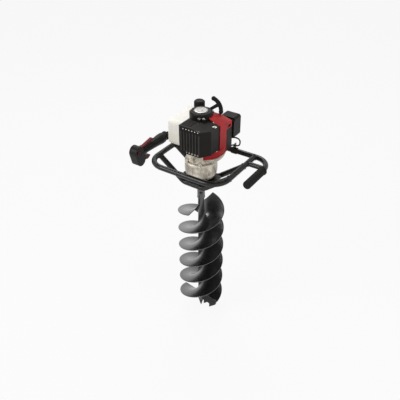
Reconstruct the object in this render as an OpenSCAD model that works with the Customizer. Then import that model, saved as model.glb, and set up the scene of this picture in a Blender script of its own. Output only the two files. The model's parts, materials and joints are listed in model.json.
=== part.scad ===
// One-man earth auger: tube handle frame, two-stroke engine, reduction gearbox and double-flight bit.
// Millimetres, +Z up. The origin is the tip of the pilot point, on the axis of the bit.

/* [Bit] */
// Outside diameter of the flights
auger_d = 200; // [160:5:240]
// Height that one flight climbs in a full turn
flight_pitch = 188; // [150:2:220]
// Angle that each flight winds through from its cutting end to its top end
flight_sweep = 1000; // [720:10:1080]
// Thickness of the flight plate
flight_t = 4; // [3:0.5:6]
// Compass angle of the first flight's cutting end
flight_heading = -8; // [-90:1:90]
// Height of the flights' cutting ends above the pilot tip
flight_lift = 80; // [76:1:110]
// Outside diameter of the bit's tube
bit_tube_d = 27; // [25:0.5:30]
// Bare tube between the flights and the socket collar
bit_neck = 41; // [20:1:80]
// Outside diameter of the socket collar
collar_d = 33; // [31:0.5:40]
// Length of the socket collar
collar_h = 47; // [36:1:70]
// Diameter of the coupling bolt
coupling_bolt_d = 8; // [6:0.5:10]
// Length of the tapered pilot point
pilot_h = 40; // [30:1:46]
// Thickness of the cutting blades
blade_t = 6; // [4:0.5:8]
// Slope of the cutting blades below level
blade_slope = 60; // [50:1:70]
// Depth of the blades down to the tooth tips
blade_depth = 44; // [38:1:48]
// Depth of the blades down to the gullets between the teeth
blade_gullet = 30; // [22:1:34]

/* [Handle frame] */
// Outside diameter of the frame tubes
tube_d = 22; // [19:0.5:25]
// Wall of the frame tubes
tube_wall = 2; // [1.5:0.25:3]
// Half width of the ring tube, centre to centre
ring_half_w = 168; // [155:1:190]
// Distance of the ring's front bar ahead of the axis
ring_front = 136; // [128:1:160]
// Distance of the rear bar behind the axis
rear_bar = 142; // [136:1:160]
// Distance of the two handle arms from the axis
handle_x = 245; // [232:1:280]
// Bend radius of the ring and the handlebar
corner_r = 70; // [55:1:72]
// Height of the ring above the flats of the support tubes
ring_rise = 90; // [80:1:110]
// Distance of the support tubes ahead of and behind the axis
support_y = 55; // [50:1:60]
// Bend radius of the support tubes
support_bend = 39; // [30:3:60]
// Distance of the braces behind the axis
brace_y = 79; // [70:1:90]
// Side of the mounting plate across the frame
plate_w = 150; // [140:1:180]
// Side of the mounting plate along the support tubes' spacing
plate_d = 140; // [132:1:170]
// Thickness of the mounting plate
plate_t = 6; // [4:0.5:10]

/* [Grips] */
// Outside diameter of the plain grip
plain_grip_d = 33; // [30:0.5:38]
// Length of the plain grip
plain_grip_len = 130; // [110:1:140]
// Distance of the plain grip's front end ahead of the axis
plain_grip_front = 66; // [50:1:80]
// Distance of the throttle grip's rear collar behind the axis
throttle_rear = 90; // [82:1:96]
// Largest diameter of the throttle grip
throttle_grip_d = 41; // [38:0.5:46]
// Width of the throttle head across the frame
throttle_head_w = 34; // [30:1:40]
// Width of the trigger
trigger_w = 12; // [8:0.5:16]
// Width of the lockout lever
lockout_w = 13; // [8:0.5:16]
// Diameter of the trigger's and the lockout lever's pins
lever_pin_d = 5; // [4:0.5:6]
// Diameter of the throttle cable
cable_d = 6; // [5:0.5:7]

/* [Gearbox] */
// Gap between the socket collar and the mounting plate
shaft_gap = 50; // [40:1:80]
// Diameter of the output shaft
output_shaft_d = 20; // [18:0.5:21]
// Length of output shaft inside the socket collar
shaft_insert = 56; // [50:1:70]
// Outside radius of the gear case
case_r = 64; // [63:0.5:70]
// Height of the gear case
case_h = 83; // [80:1:100]
// Wall of the gear case
case_wall = 7; // [5:0.5:8]
// Radius of the flanges at the case seam
flange_r = 66; // [65:0.5:74]
// Radius of the upper case above its flange
neck_r = 58; // [57:0.5:58]
// Height of the upper case
cover_h = 21; // [20:1:40]
// Tooth size of the input pinion and counter gear
gear_module = 1; // [0.8:0.05:1]
// Teeth on the input pinion
input_teeth = 10; // [10:1:12]
// Teeth on the counter gear
counter_teeth = 50; // [44:1:50]
// Teeth on the counter pinion
pinion_teeth = 10; // [10:1:12]
// Teeth on the output gear
output_teeth = 38; // [34:1:40]
// Outside diameter of the output bearings
output_bearing_d = 42; // [38:1:42]
// Width of the output bearings
output_bearing_w = 12; // [9:1:12]
// Diameter of the counter shaft
counter_shaft_d = 10; // [8:0.5:10]
// Diameter of the input shaft
input_shaft_d = 10; // [8:0.5:11]
// Outside radius of the clutch drum
drum_r = 37; // [34:0.5:45]

/* [Engine] */
// Height of the fan cover
bell_h = 62; // [60:1:75]
// Wall of the fan cover
bell_wall = 5; // [4:0.5:6]
// Radius of the cooling scoop and of the shroud's skirt
scoop_r = 98; // [95:1:105]
// Height of the crankcase
crankcase_h = 73; // [68:1:85]
// Outside radius of the crankcase
crankcase_r = 46; // [43:0.5:47]
// Diameter of the crankshaft's journals
crank_d = 15; // [12:0.5:17]
// Cylinder bore
bore_d = 40; // [36:1:42]
// Piston stroke
stroke = 28; // [24:1:28]
// Length of the connecting rod between its eyes
rod_len = 56; // [55:0.5:57]
// Number of cooling fins on the cylinder
fin_count = 5; // [3:1:6]
// Reach of the shroud from the axis
shroud_x = 95; // [94:0.5:97]
// Reach of the muffler cover ahead of the axis
muffler_front = 112; // [108:1:125]
// Left edge of the muffler cover from the axis
muffler_left = 25; // [20:1:30]
// Wall of the shroud and the covers
skin = 3; // [2:0.25:3]
// Number of louvres on the muffler cover
louvre_count = 7; // [5:1:8]
// Radius of the recoil starter housing
recoil_r = 44; // [43:0.5:48]
// Height of the recoil starter housing
recoil_h = 51; // [50:1:65]
// Radius of the bright disc on the recoil starter
disc_r = 27; // [24:0.5:32]
// Rope radius on the reel
reel_r = 30; // [26:0.5:31]
// Diameter of the starter rope
rope_d = 3.5; // [3:0.25:4]
// Length of the starter handle's bar along its arc
handle_arc = 62; // [54:1:66]
// Left side of the fuel tank from the axis
tank_left = 149; // [135:1:155]
// Front of the fuel tank from the axis
tank_front = 26; // [10:1:30]
// Rear of the fuel tank from the axis
tank_rear = 150; // [146:1:160]
// Height of the fuel tank
tank_h = 110; // [90:1:115]
// Diameter of the fuel cap
cap_d = 45; // [42:0.5:50]
// Rear of the air cleaner cover from the axis
cleaner_rear = 137; // [125:1:145]
// Height of the air cleaner cover
cleaner_h = 87; // [80:1:95]

/* [Fits] */
// Radial clearance of a turning fit
run_gap = 0.05; // [0.02:0.01:0.08]
// Radial clearance of a fixed fit
seat_gap = 0.02; // [0.01:0.01:0.05]
// Space left at a welded joint
weld_gap = 0.05; // [0.02:0.01:0.1]
// Least space between moving pieces that don't fit each other
free_gap = 0.5; // [0.4:0.1:0.8]

/* [Hidden] */
$fn = 64;
// Overshoot of a cut past the face it opens
cut = 1;

// Heights, from the pilot tip up
tube_r = tube_d / 2;
flight_top = flight_lift + flight_pitch * flight_sweep / 360;
collar_z = flight_top + bit_neck;
collar_top = collar_z + collar_h;
frame_z = collar_top + shaft_gap;
support_z = frame_z - tube_r;
ring_z = support_z + ring_rise;
case_z = frame_z + plate_t;
seam_z = case_z + case_h;
cover_top = seam_z + cover_h;
crank_z = cover_top + bell_h;
cyl_z = crank_z + crankcase_h / 2;
recoil_z = crank_z + crankcase_h;
recoil_top = recoil_z + recoil_h;

// Bit
socket_r = output_shaft_d / 2 + run_gap;
flight_root = bit_tube_d / 2 + weld_gap;
flight_steps = 100;
blade_in = 16;
blade_out = auger_d / 2 - 3;
bit_wall = 4.5;
pilot_neck = 4;
pilot_r = bit_tube_d / 2 - 1.5;
pilot_tip_r = 1.5;
coupling_azimuth = 30;
coupling_seat = collar_d / 2 - 2;

// Frame fasteners
frame_bolt_x = 38;
frame_bolt_y = 34;
frame_bolt_r = 4;
frame_bolt_head_r = 6.5;
frame_bolt_head_h = 5.5;
frame_bolt_grip = 14;
plate_hole_r = 18;
plate_band = support_y - tube_r - 2;
plate_tab = 33;

// Gear train
pressure_angle = 25;
tooth_tip = 0.8;
tooth_root = 1;
tooth_slack = 0.1;
flank_steps = 4;
gear_space = gear_module * (input_teeth + counter_teeth) / 2;
output_module = 2 * gear_space / (pinion_teeth + output_teeth);
output_gear_w = 14;
counter_gear_w = 8;
seal_w = 7.5;
floor_z = case_z + seal_w + output_bearing_w + 4.5;
output_gear_z = floor_z + output_bearing_w + 1;
counter_gear_z = output_gear_z + output_gear_w + 4;
pinion_w = counter_gear_w + 4;
input_pinion_z = counter_gear_z - 1;
spigot_z = counter_gear_z + counter_gear_w + 6;
cavity_r = case_r - case_wall;
output_bearing_r = output_bearing_d / 2;
output_boss_r = gear_space - counter_shaft_d / 2 - 0.7;
counter_hole_h = 8;
input_bearing_r = 13;
input_bearing_w = 8;

// Case bolts
case_bolt_count = 6;
case_bolt_r = 2.5;
case_bolt_head_r = 4.2;
case_bolt_head_h = 5;
case_bolt_pcd_r = neck_r + case_bolt_head_r + 0.3;
case_bolt_grip = 16;
case_boss_r = 7.5;
case_boss_h = 25;
flange_t = 7;
case_taper = 15;
rib_azimuths = [30, 90, 150, 210, 270];
filler_r = 6;
filler_seat = case_wall + 6;
filler_azimuth = -30;
filler_z = case_z + 45;

// Engine screws
screw_r = 3;
screw_head_r = 5;
screw_grip = 14;
lug_azimuths = [90, 150, 270];
lug_r = neck_r + screw_head_r + 0.5;
lug_t = 6;
lug_boss_r = 7.5;

// Clutch and flywheel
drum_z = cover_top + 3;
drum_floor = 3;
drum_wall = 2.5;
drum_h = 27;
shoe_r = drum_r - drum_wall - 1;
shoe_root = 18;
shoe_z = drum_z + drum_floor + 6;
shoe_w = 12;
flywheel_z = drum_z + drum_h + 6;
flywheel_t = 9;
blade_ring_h = 10;
bell_in = neck_r - bell_wall;
flywheel_r = bell_in - 4;
crank_r = crank_d / 2;
fan_blade_count = 12;
bell_mid = bell_in + bell_wall / 3;
flange_boss_r = 5;
bell_flange_t = 6;
bell_flange_r = neck_r + 6;
flange_bolt_r = neck_r + 0.5;
window_from = -52;
window_to = 45;
scoop_from = -70;
scoop_to = 60;

// Engine
web_r = stroke + 0.5;
web_gap = 12;
web_t = 9;
chamber_r = web_r + 7;
chamber_h = web_gap + 2 * web_t + 6;
bearing_out_r = crank_r + 10;
bearing_w = 11;
crank_throw = stroke / 2;
pin_x = crank_throw + rod_len;
piston_crown = 10;
piston_skirt = 10;
head_x = pin_x + piston_crown + 1;
head_t = 8;
deck_x = crankcase_r + 2;
fin_half = 34;
fin_low = 29;
port_y = 36;
shroud_front = 13;
shroud_rear = 72;
skirt_z = cover_top + 24;
top_flat = crank_z + crankcase_h + 26;
top_slope = 0.4;
top_ridge = recoil_top - 15;
ridge_cut = 44;
slope_x = 25;
band_rear = 34;
flange_low = crank_z + 55;
pad_half = 31;
rod_t = web_gap - 2;
wrist_pin_r = 4;
fin_t = 2.5;
port_x = 66;
port_r = 8;
port_boss_r = 13;
plug_x = head_x;
plug_r = 5;
plug_seat = fin_half + 2;
muffler_right = 80;
muffler_face = muffler_front - 24;
muffler_rear = 50;
muffler_z = crank_z + 14;
muffler_h = 54;
muffler_cover_z = crank_z - 9;
cover_flat = top_flat + 5;
cover_drop = 13;
cover_corner = [66, 40];
cover_screw = [81, -34, cover_flat - cover_drop - 2];
cover_screw_r = 9.5;
louvre_from = -14;
louvre_to = 64;
skirt_from = -52;
skirt_to = 19;
skirt_h = 25;

// Recoil starter
rope_heading = 42;
rope_rise = 28;
rope_r = rope_d / 2;
reel_z = recoil_top - 11;
eyelet_out = 40;
rope_in = [cos(rope_heading), sin(rope_heading), 0];
rope_out = cos(rope_rise) * rope_in + [0, 0, sin(rope_rise)];
eyelet = [0, 0, reel_z] + reel_r * [-sin(rope_heading), cos(rope_heading), 0] + eyelet_out * rope_in;
post_r = 8;
reel_w = 12;
rope_grip = 10;
pillar_azimuths = [-66, -46, 58, 178];
pillar_r = recoil_r + 4;
pillar_h = 38;
pillar_boss_r = 6.5;
vent_azimuths = [-10, 128, 238];
cup_z = 5;
cup_r = 20;
cup_h = 16;
handle_bar_r = 8.2;
handle_stem_r = 7.5;
handle_bow = 55;
handle_roll = -20;
handle_seat = 7;
handle_stem = 40;
handle_end_r = handle_bar_r + 0.8;

// Fuel tank
tank_z = cover_top + 12;
tank_right = bell_flange_r + 1;
tank_round = 14;
cap_x = -89;
cap_y = 123;
neck_out_r = cap_d / 2 - 4.5;
neck_h = 26;
seal_t = 2.5;
cap_h = 34;
cap_drop = 22;
cap_ribs = 24;
tank_skin = 3;

// Air cleaner and carburettor
carb_y = 36;
carb_len = 48;
carb_x = 44;
carb_w = 36;
carb_h = 36;
cleaner_y = carb_y + carb_len;
base_t = 7;
cleaner_left = 30;
cleaner_right = 98;
cleaner_round = 10;
cleaner_z = crank_z - 7;
knob_pin_r = 4;
choke_z = cyl_z + 20;
choke_pin_r = 2.5;
bulb_r = 9;
intake_left = 60;
intake_right = shroud_x - 2;
intake_rear = cleaner_y - free_gap;
intake_z = cover_top + 20;

// Throttle grip, measured from its arm: forward along the arm, and up
head_fwd = 108;
head_up = 12;
head_r = 26;
chin_fwd = 98;
chin_up = -28;
chin_r = 25;
sleeve_end = 78;
trigger_fwd = 84;
trigger_up = -24;
lockout_fwd = 88;
lockout_up = 14;
left_arm_end = 95;
left_brace_y = throttle_rear + tube_r + 4;
left_brace_end = handle_x - corner_r + sqrt(pow(corner_r, 2) - pow(left_brace_y - rear_bar + corner_r, 2));

// Route of the throttle cable
cable_z = ring_z + tube_r + cable_d / 2 + 0.4;
bracket_x = 73;
cable_ear_z = cable_z + 9;
carb_end = [50, 74];
cable_route = concat(
  [for (a = [10:10:90]) [
    corner_r - handle_x - corner_r * cos(a), rear_bar - corner_r + corner_r * sin(a), cable_z
  ]],
  [for (x = [-150:30:30]) [x, rear_bar, cable_z]],
  [
    [52, rear_bar, cable_z + 3], [64, rear_bar, cable_ear_z - 1], [bracket_x, rear_bar, cable_ear_z],
    [82, rear_bar, cable_ear_z + 1.5], [93, 139, 850], [101, 133, 863], [104, 127, 880], [99, 121, 891],
    [88, 114, 896], [72, 104, 896], [59, 94, 897], [52, 84, 902], [50, 77, 913], [50, 74, 924], [50, 74, 928]
  ]
);

// Unit vector from a to b
function heading(a, b) = (b - a) / norm(b - a);

// Signed turn from flat direction u to flat direction v
function turn(u, v) = atan2(u.x * v.y - u.y * v.x, u * v);

// Round bar of radius r along a flat path whose corners are bent
module bar_path(path, bend, r, overrun = 0) {
  last = len(path) - 1;
  dirs = [for (i = [0:last - 1]) heading(path[i], path[i + 1])];
  trims = [for (i = [0:last]) i == 0 || i == last
    ? -overrun
    : bend * tan(abs(turn(dirs[i - 1], dirs[i])) / 2)];
  for (i = [0:last - 1]) {
    start = path[i] + dirs[i] * trims[i];
    run = norm(path[i + 1] - path[i]) - trims[i] - trims[i + 1];
    translate([start.x, start.y, 0]) rotate([0, 90, atan2(dirs[i].y, dirs[i].x)])
      cylinder(r = r, h = run);
  }
  for (i = [1:last - 1]) {
    angle = turn(dirs[i - 1], dirs[i]);
    side = angle > 0 ? 1 : -1;
    left = [-dirs[i - 1].y, dirs[i - 1].x];
    centre = path[i] - dirs[i - 1] * trims[i] + side * bend * left;
    first = atan2(-side * left.y, -side * left.x) + min(angle, 0);
    translate([centre.x, centre.y, 0]) rotate(first) rotate_extrude(angle = abs(angle))
      translate([bend, 0]) circle(r = r);
  }
}

// Bent tube with a wall
module tube_path(path, bend) {
  difference() {
    bar_path(path, bend, tube_r);
    bar_path(path, bend, tube_r - tube_wall, overrun = cut);
  }
}

// Ring between two radii
module ring(r_out, r_in, h) {
  difference() {
    cylinder(r = r_out, h = h);
    translate([0, 0, -cut]) cylinder(r = r_in, h = h + 2 * cut);
  }
}

// Rectangle with round corners, from corner a to corner b
module rounded_rect(a, b, r) {
  translate([a.x + r, a.y]) square([b.x - a.x - 2 * r, b.y - a.y]);
  translate([a.x, a.y + r]) square([b.x - a.x, b.y - a.y - 2 * r]);
  for (x = [a.x + r, b.x - r])
    for (y = [a.y + r, b.y - r])
      translate([x, y]) circle(r = r);
}

// Upright block with round corners between heights z0 and z1
module rounded_block(a, b, r, z0, z1) {
  translate([0, 0, z0]) linear_extrude(z1 - z0) rounded_rect(a, b, r);
}

// Block from corner a to corner b
module block(a, b) {
  translate(a) cube(b - a);
}

// Copies at the four frame bolts
module at_frame_bolts() {
  for (x = [-frame_bolt_x, frame_bolt_x])
    for (y = [-frame_bolt_y, frame_bolt_y])
      translate([x, y, 0]) children();
}

// Copies round the case seam
module at_case_bolts() {
  for (i = [0:case_bolt_count - 1])
    rotate(360 * i / case_bolt_count) translate([case_bolt_pcd_r, 0, 0]) children();
}

// Local frame of the throttle grip: z forward along the arm, y up, x across
module along_throttle() {
  translate([-handle_x, 0, ring_z]) rotate([90, 0, 0]) children();
}

// Side outline of the throttle grip, turned so that it is extruded across the frame
module across_throttle(w) {
  along_throttle() rotate([0, -90, 0]) translate([0, 0, -w / 2]) linear_extrude(w) children();
}

// The support tubes drop three for every four across
support_half_flat = ring_half_w - ring_rise * 4 / 3;
handle_path = [
  [-handle_x, -left_arm_end], [-handle_x, rear_bar], [handle_x, rear_bar],
  [handle_x, 4 - plain_grip_front]
];
ring_path = [
  [-ring_half_w, rear_bar], [-ring_half_w, -ring_front],
  [ring_half_w, -ring_front], [ring_half_w, rear_bar]
];
support_path = [
  [-ring_half_w, ring_z], [-support_half_flat, support_z],
  [support_half_flat, support_z], [ring_half_w, ring_z]
];

// Rear bar and both handle arms in one bent tube
module handlebar_tube() {
  color("#26262a") translate([0, 0, ring_z]) tube_path(handle_path, corner_r);
}

// Front bar and side arms, coped onto the rear bar
module ring_tube() {
  color("#26262a") difference() {
    translate([0, 0, ring_z]) tube_path(ring_path, corner_r);
    translate([-handle_x, rear_bar, ring_z]) rotate([0, 90, 0])
      cylinder(r = tube_r + weld_gap, h = 2 * handle_x);
  }
}

// Bent support tube, coped onto the ring's side arms
module support_tube(y) {
  color("#26262a") difference() {
    translate([0, y, 0]) rotate([90, 0, 0]) tube_path(support_path, support_bend);
    for (x = [-ring_half_w, ring_half_w])
      translate([x, -ring_front, ring_z]) rotate([-90, 0, 0])
        cylinder(r = tube_r + weld_gap, h = ring_front + rear_bar);
  }
}

module front_support_tube() {
  support_tube(-support_y);
}

module rear_support_tube() {
  support_tube(support_y);
}

// Short braces between the ring's arms and the handle arms
module grip_braces() {
  color("#26262a")
    for (side = [0, 1])
      mirror([side, 0, 0]) difference() {
        translate([ring_half_w, side == 0 ? brace_y : left_brace_y, ring_z]) rotate([0, 90, 0])
          cylinder(r = tube_r - 1, h = (side == 0 ? handle_x : left_brace_end) - ring_half_w);
        translate([ring_half_w, 0, ring_z]) rotate([-90, 0, 0])
          cylinder(r = tube_r + weld_gap, h = rear_bar);
        translate([0, 0, ring_z])
          bar_path([[0, rear_bar], [handle_x, rear_bar], [handle_x, 0]], corner_r,
            tube_r + weld_gap);
      }
}

// Plate that carries the gearbox on the support tubes
module mounting_plate() {
  color("#2a2a2d") difference() {
    union() {
      rounded_block([-plate_w / 2, -plate_band], [plate_w / 2, plate_band], 10, frame_z + weld_gap, case_z);
      rounded_block([-plate_tab, -plate_d / 2], [plate_tab, plate_d / 2], 8, frame_z + weld_gap, case_z);
    }
    translate([0, 0, frame_z - cut]) cylinder(r = plate_hole_r, h = plate_t + 2 * cut);
    at_frame_bolts() translate([0, 0, frame_z - cut])
      cylinder(r = frame_bolt_r + seat_gap, h = plate_t + 2 * cut);
  }
}

// Hexagon bolts that hold the gear case to the plate from below
module frame_bolts() {
  color("#8d9094") at_frame_bolts() {
    translate([0, 0, frame_z + weld_gap - frame_bolt_head_h])
      cylinder(r = frame_bolt_head_r, h = frame_bolt_head_h, $fn = 6);
    translate([0, 0, frame_z]) cylinder(r = frame_bolt_r, h = plate_t + frame_bolt_grip);
  }
}

// Ribbed rubber grip with a closed front end
module plain_grip() {
  color("#1b1b1c") translate([handle_x, plain_grip_len - plain_grip_front, ring_z])
    rotate([90, 0, 0]) difference() {
      union() {
        cylinder(r = plain_grip_d / 2, h = plain_grip_len - 6);
        translate([0, 0, plain_grip_len - 6])
          cylinder(r1 = plain_grip_d / 2, r2 = plain_grip_d / 2 - 5, h = 6);
        cylinder(r = plain_grip_d / 2 + 2.5, h = 5);
      }
      translate([0, 0, -cut]) cylinder(r = tube_r + seat_gap, h = plain_grip_len - 4 + cut);
    }
}

// Turned sleeve, round head and chin of the throttle grip
module throttle_form() {
  along_throttle() rotate_extrude() polygon([
    [0, -throttle_rear], [throttle_grip_d / 2, -throttle_rear],
    [throttle_grip_d / 2, -throttle_rear + 4], [throttle_grip_d / 2 - 4, -throttle_rear + 7],
    [throttle_grip_d / 2 - 4, -throttle_rear + 10], [throttle_grip_d / 2 + 2, -throttle_rear + 24],
    [throttle_grip_d / 2 + 2.5, -throttle_rear + 40], [throttle_grip_d / 2, -24],
    [throttle_grip_d / 2 - 1.5, 0], [throttle_grip_d / 2 - 3, 40],
    [throttle_grip_d / 2 - 3, sleeve_end + 20], [0, sleeve_end + 20]
  ]);
  across_throttle(throttle_head_w) {
    head = [head_fwd, head_up];
    chin = [chin_fwd, chin_up];
    across = [head.y - chin.y, chin.x - head.x] / norm(head - chin);
    translate(head) circle(r = head_r);
    translate(chin) circle(r = chin_r);
    polygon([
      head + head_r * across, chin + chin_r * across, chin - chin_r * across, head - head_r * across
    ]);
  }
}

// Throttle housing with its slots for the trigger, the lockout lever and the switch
module throttle_body() {
  difference() {
    throttle_form();
    across_throttle(trigger_w + 2 * free_gap) polygon([
      [trigger_fwd + 9, trigger_up + 9], [trigger_fwd - 40, trigger_up + 9],
      [trigger_fwd - 40, trigger_up - 40], [trigger_fwd + 9, trigger_up - 40]
    ]);
    across_throttle(lockout_w + 2 * free_gap) polygon([
      [lockout_fwd + 8, lockout_up - 1.5], [lockout_fwd + 8, lockout_up + 40],
      [-20, lockout_up + 40], [-20, lockout_up + 6], [sleeve_end - 20, lockout_up - 1.5]
    ]);
    switch_pocket();
    translate([0, 0, ring_z]) bar_path(handle_path, corner_r, tube_r + seat_gap);
    along_throttle() translate([1.7, cable_z - ring_z, -throttle_rear - cut])
      cylinder(r = cable_d / 2 + 1.5, h = 7 + cut);
  }
}

// Pocket of the stop switch in the inner side of the head
module switch_pocket() {
  along_throttle() translate([throttle_head_w / 2 - 6, head_up - 2, head_fwd - 4])
    block([0, 0, 0], [6 + cut, 12, 22]);
}

module throttle_housing_inner() {
  color("#222224") intersection() {
    throttle_body();
    block([-handle_x, -200, ring_z - 100], [-handle_x + 60, 200, ring_z + 100]);
  }
}

// Outer half, which carries the pins of the two levers
module throttle_housing_outer() {
  color("#222224") {
    intersection() {
      throttle_body();
      block([-handle_x - 60, -200, ring_z - 100], [-handle_x, 200, ring_z + 100]);
    }
    lever_pin(trigger_fwd, trigger_up, trigger_w);
    lever_pin(lockout_fwd, lockout_up + 8, lockout_w);
  }
}

// Pin across a slot of the throttle head
module lever_pin(fwd, up, w) {
  across_throttle(w + 2 * free_gap) translate([fwd, up]) circle(d = lever_pin_d);
}

// Finger trigger below the grip
module throttle_trigger() {
  color("#3a1c1b") difference() {
    across_throttle(trigger_w) union() {
      translate([trigger_fwd, trigger_up]) circle(r = 6);
      polygon([
        [trigger_fwd - 1, trigger_up + 5.9], [trigger_fwd - 44, trigger_up - 4],
        [trigger_fwd - 56, trigger_up - 12], [trigger_fwd - 54, trigger_up - 17],
        [trigger_fwd - 40, trigger_up - 24], [trigger_fwd - 20, trigger_up - 20],
        [trigger_fwd, trigger_up - 6]
      ]);
    }
    across_throttle(trigger_w + 2 * cut) translate([trigger_fwd, trigger_up])
      circle(r = lever_pin_d / 2 + run_gap);
  }
}

// Lockout lever on top of the grip
module lockout_lever() {
  color("#8e1f22") difference() {
    across_throttle(lockout_w) union() {
      translate([lockout_fwd, lockout_up + 8]) circle(r = 5.5);
      polygon([
        [lockout_fwd, lockout_up + 2.5], [lockout_fwd, lockout_up + 13.5],
        [66, 24], [30, 30], [8, 34], [2, 30], [4, 27], [40, 22]
      ]);
    }
    across_throttle(lockout_w + 2 * cut) translate([lockout_fwd, lockout_up + 8])
      circle(r = lever_pin_d / 2 + run_gap);
  }
}

// Sliding stop switch in the inner side of the head
module stop_switch() {
  color("#7d1a1c") along_throttle()
    translate([throttle_head_w / 2 - 6, head_up - 2, head_fwd - 4]) {
      block([seat_gap, free_gap, free_gap], [5, 12 - free_gap, 14]);
      block([4, 3, 4], [9, 9, 10]);
    }
}

// Tube swept along a list of points, with flat ends
module sweep_tube(path, r, sides, up) {
  last = len(path) - 1;
  rings = [for (i = [0:last])
    let (dir = heading(path[max(i - 1, 0)], path[min(i + 1, last)]))
    let (u = cross(dir, up) / norm(cross(dir, up)))
    let (v = cross(u, dir))
    for (k = [0:sides - 1]) path[i] + r * (cos(360 * k / sides) * u + sin(360 * k / sides) * v)];
  walls = [for (i = [0:last - 1]) for (k = [0:sides - 1])
    let (a = i * sides + k, b = i * sides + (k + 1) % sides)
    each [[a, b, a + sides], [b, b + sides, a + sides]]];
  polyhedron(rings, concat(walls, [
    [for (k = [sides - 1:-1:0]) k],
    [for (k = [0:sides - 1]) last * sides + k]
  ]));
}

// Throttle cable from the grip along the handlebar, up through its bracket and round to the carburettor
module throttle_cable() {
  color("#161617") sweep_tube(cable_route, cable_d / 2, 8, [0.5, -0.7, 0.5]);
}

// Clamp on the rear bar with an ear that carries the cable
module cable_bracket() {
  color("#2a2a2d") translate([bracket_x, rear_bar, ring_z]) difference() {
    union() {
      translate([-11, 0, 0]) rotate([0, 90, 0]) cylinder(r = tube_r + 3, h = 22);
      block([-1.5, -10, 0], [1.5, 10, cable_ear_z - ring_z + 9]);
    }
    translate([-12, 0, 0]) rotate([0, 90, 0]) cylinder(r = tube_r + seat_gap, h = 24);
    translate([-cut - 1.5, 0, cable_ear_z - ring_z]) rotate([0, 90, 0])
      cylinder(r = cable_d / 2 + free_gap, h = 3 + 2 * cut);
  }
}

// Polar point
function polar(r, a) = r * [cos(a), sin(a)];

// Angle between the start of an involute and its point at radius r
function involute_angle(r, base) =
  let (roll = sqrt(max(pow(r / base, 2) - 1, 0)))
  roll * 180 / PI - atan(roll);

// Spur gear outline with a tooth centred on +X
module gear_outline(size, teeth) {
  pitch = size * teeth / 2;
  base = pitch * cos(pressure_angle);
  tip = pitch + tooth_tip * size;
  root = pitch - tooth_root * size;
  low = max(root, base);
  half = 90 / teeth - tooth_slack / pitch * 90 / PI + involute_angle(pitch, base);
  flank = [for (i = [0:flank_steps])
    let (r = low + (tip - low) * i / flank_steps)
    [r, half - involute_angle(r, base)]];
  side = root < low ? concat([[root, flank[0].y]], flank) : flank;
  polygon([for (t = [0:teeth - 1]) each concat(
    [for (p = side) polar(p.x, 360 * t / teeth - p.y)],
    [for (i = [len(side) - 1:-1:0]) polar(side[i].x, 360 * t / teeth + side[i].y)]
  )]);
}

module spur_gear(size, teeth, w, phase) {
  rotate(phase) linear_extrude(w) gear_outline(size, teeth);
}

// Hexagon prism
module hexagon(r, h) {
  cylinder(r = r, h = h, $fn = 6);
}

// Lower case: floor with the output bearings, gear chamber and seam flange
module gear_case() {
  color("#b0aca4") difference() {
    union() {
      translate([0, 0, case_z]) rotate_extrude() polygon([
        [0, 0], [case_r - case_taper / 3, 0], [case_r, case_taper], [case_r, case_h], [0, case_h]
      ]);
      translate([0, 0, seam_z - flange_t]) cylinder(r = flange_r, h = flange_t);
      at_case_bolts() translate([0, 0, seam_z - case_boss_h])
        cylinder(r = case_boss_r, h = case_boss_h);
      for (a = rib_azimuths)
        rotate(a) block([0, -3, case_z + case_taper], [flange_r, 3, seam_z - flange_t + 1]);
      at_filler() cylinder(r = filler_r + 4, h = filler_seat);
    }
    translate([0, 0, floor_z]) ring(cavity_r, output_boss_r, output_bearing_w);
    translate([0, 0, floor_z + output_bearing_w]) cylinder(r = cavity_r, h = case_h);
    translate([0, 0, case_z - cut])
      cylinder(r = output_bearing_r + seat_gap, h = seal_w + output_bearing_w + cut);
    translate([0, 0, case_z]) cylinder(r = output_shaft_d / 2 + 3, h = floor_z - case_z + cut);
    translate([0, 0, floor_z])
      cylinder(r = output_bearing_r + seat_gap, h = output_bearing_w + cut);
    translate([0, gear_space, floor_z - counter_hole_h])
      cylinder(r = counter_shaft_d / 2 + run_gap, h = counter_hole_h + cut);
    at_frame_bolts() translate([0, 0, case_z - cut])
      cylinder(r = frame_bolt_r + seat_gap, h = frame_bolt_grip + cut);
    at_case_bolts() translate([0, 0, seam_z - case_bolt_grip])
      cylinder(r = case_bolt_r + seat_gap, h = case_bolt_grip + cut);
    at_filler() cylinder(r = filler_r + seat_gap, h = filler_seat + cut);
  }
}

// Local frame of the oil filler, outward along z
module at_filler() {
  rotate(filler_azimuth) translate([cavity_r - 3, 0, filler_z]) rotate([0, 90, 0]) children();
}

module filler_plug() {
  color("#8d9094") at_filler() {
    translate([0, 0, 3.5]) cylinder(r = filler_r, h = filler_seat - 3);
    translate([0, 0, filler_seat]) hexagon(filler_r + 2.5, 6);
  }
}

// Copies at the three lugs that join the fan cover to the gearbox
module at_lugs(r) {
  for (a = lug_azimuths)
    rotate(a) translate([r, 0, 0]) children();
}

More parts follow.
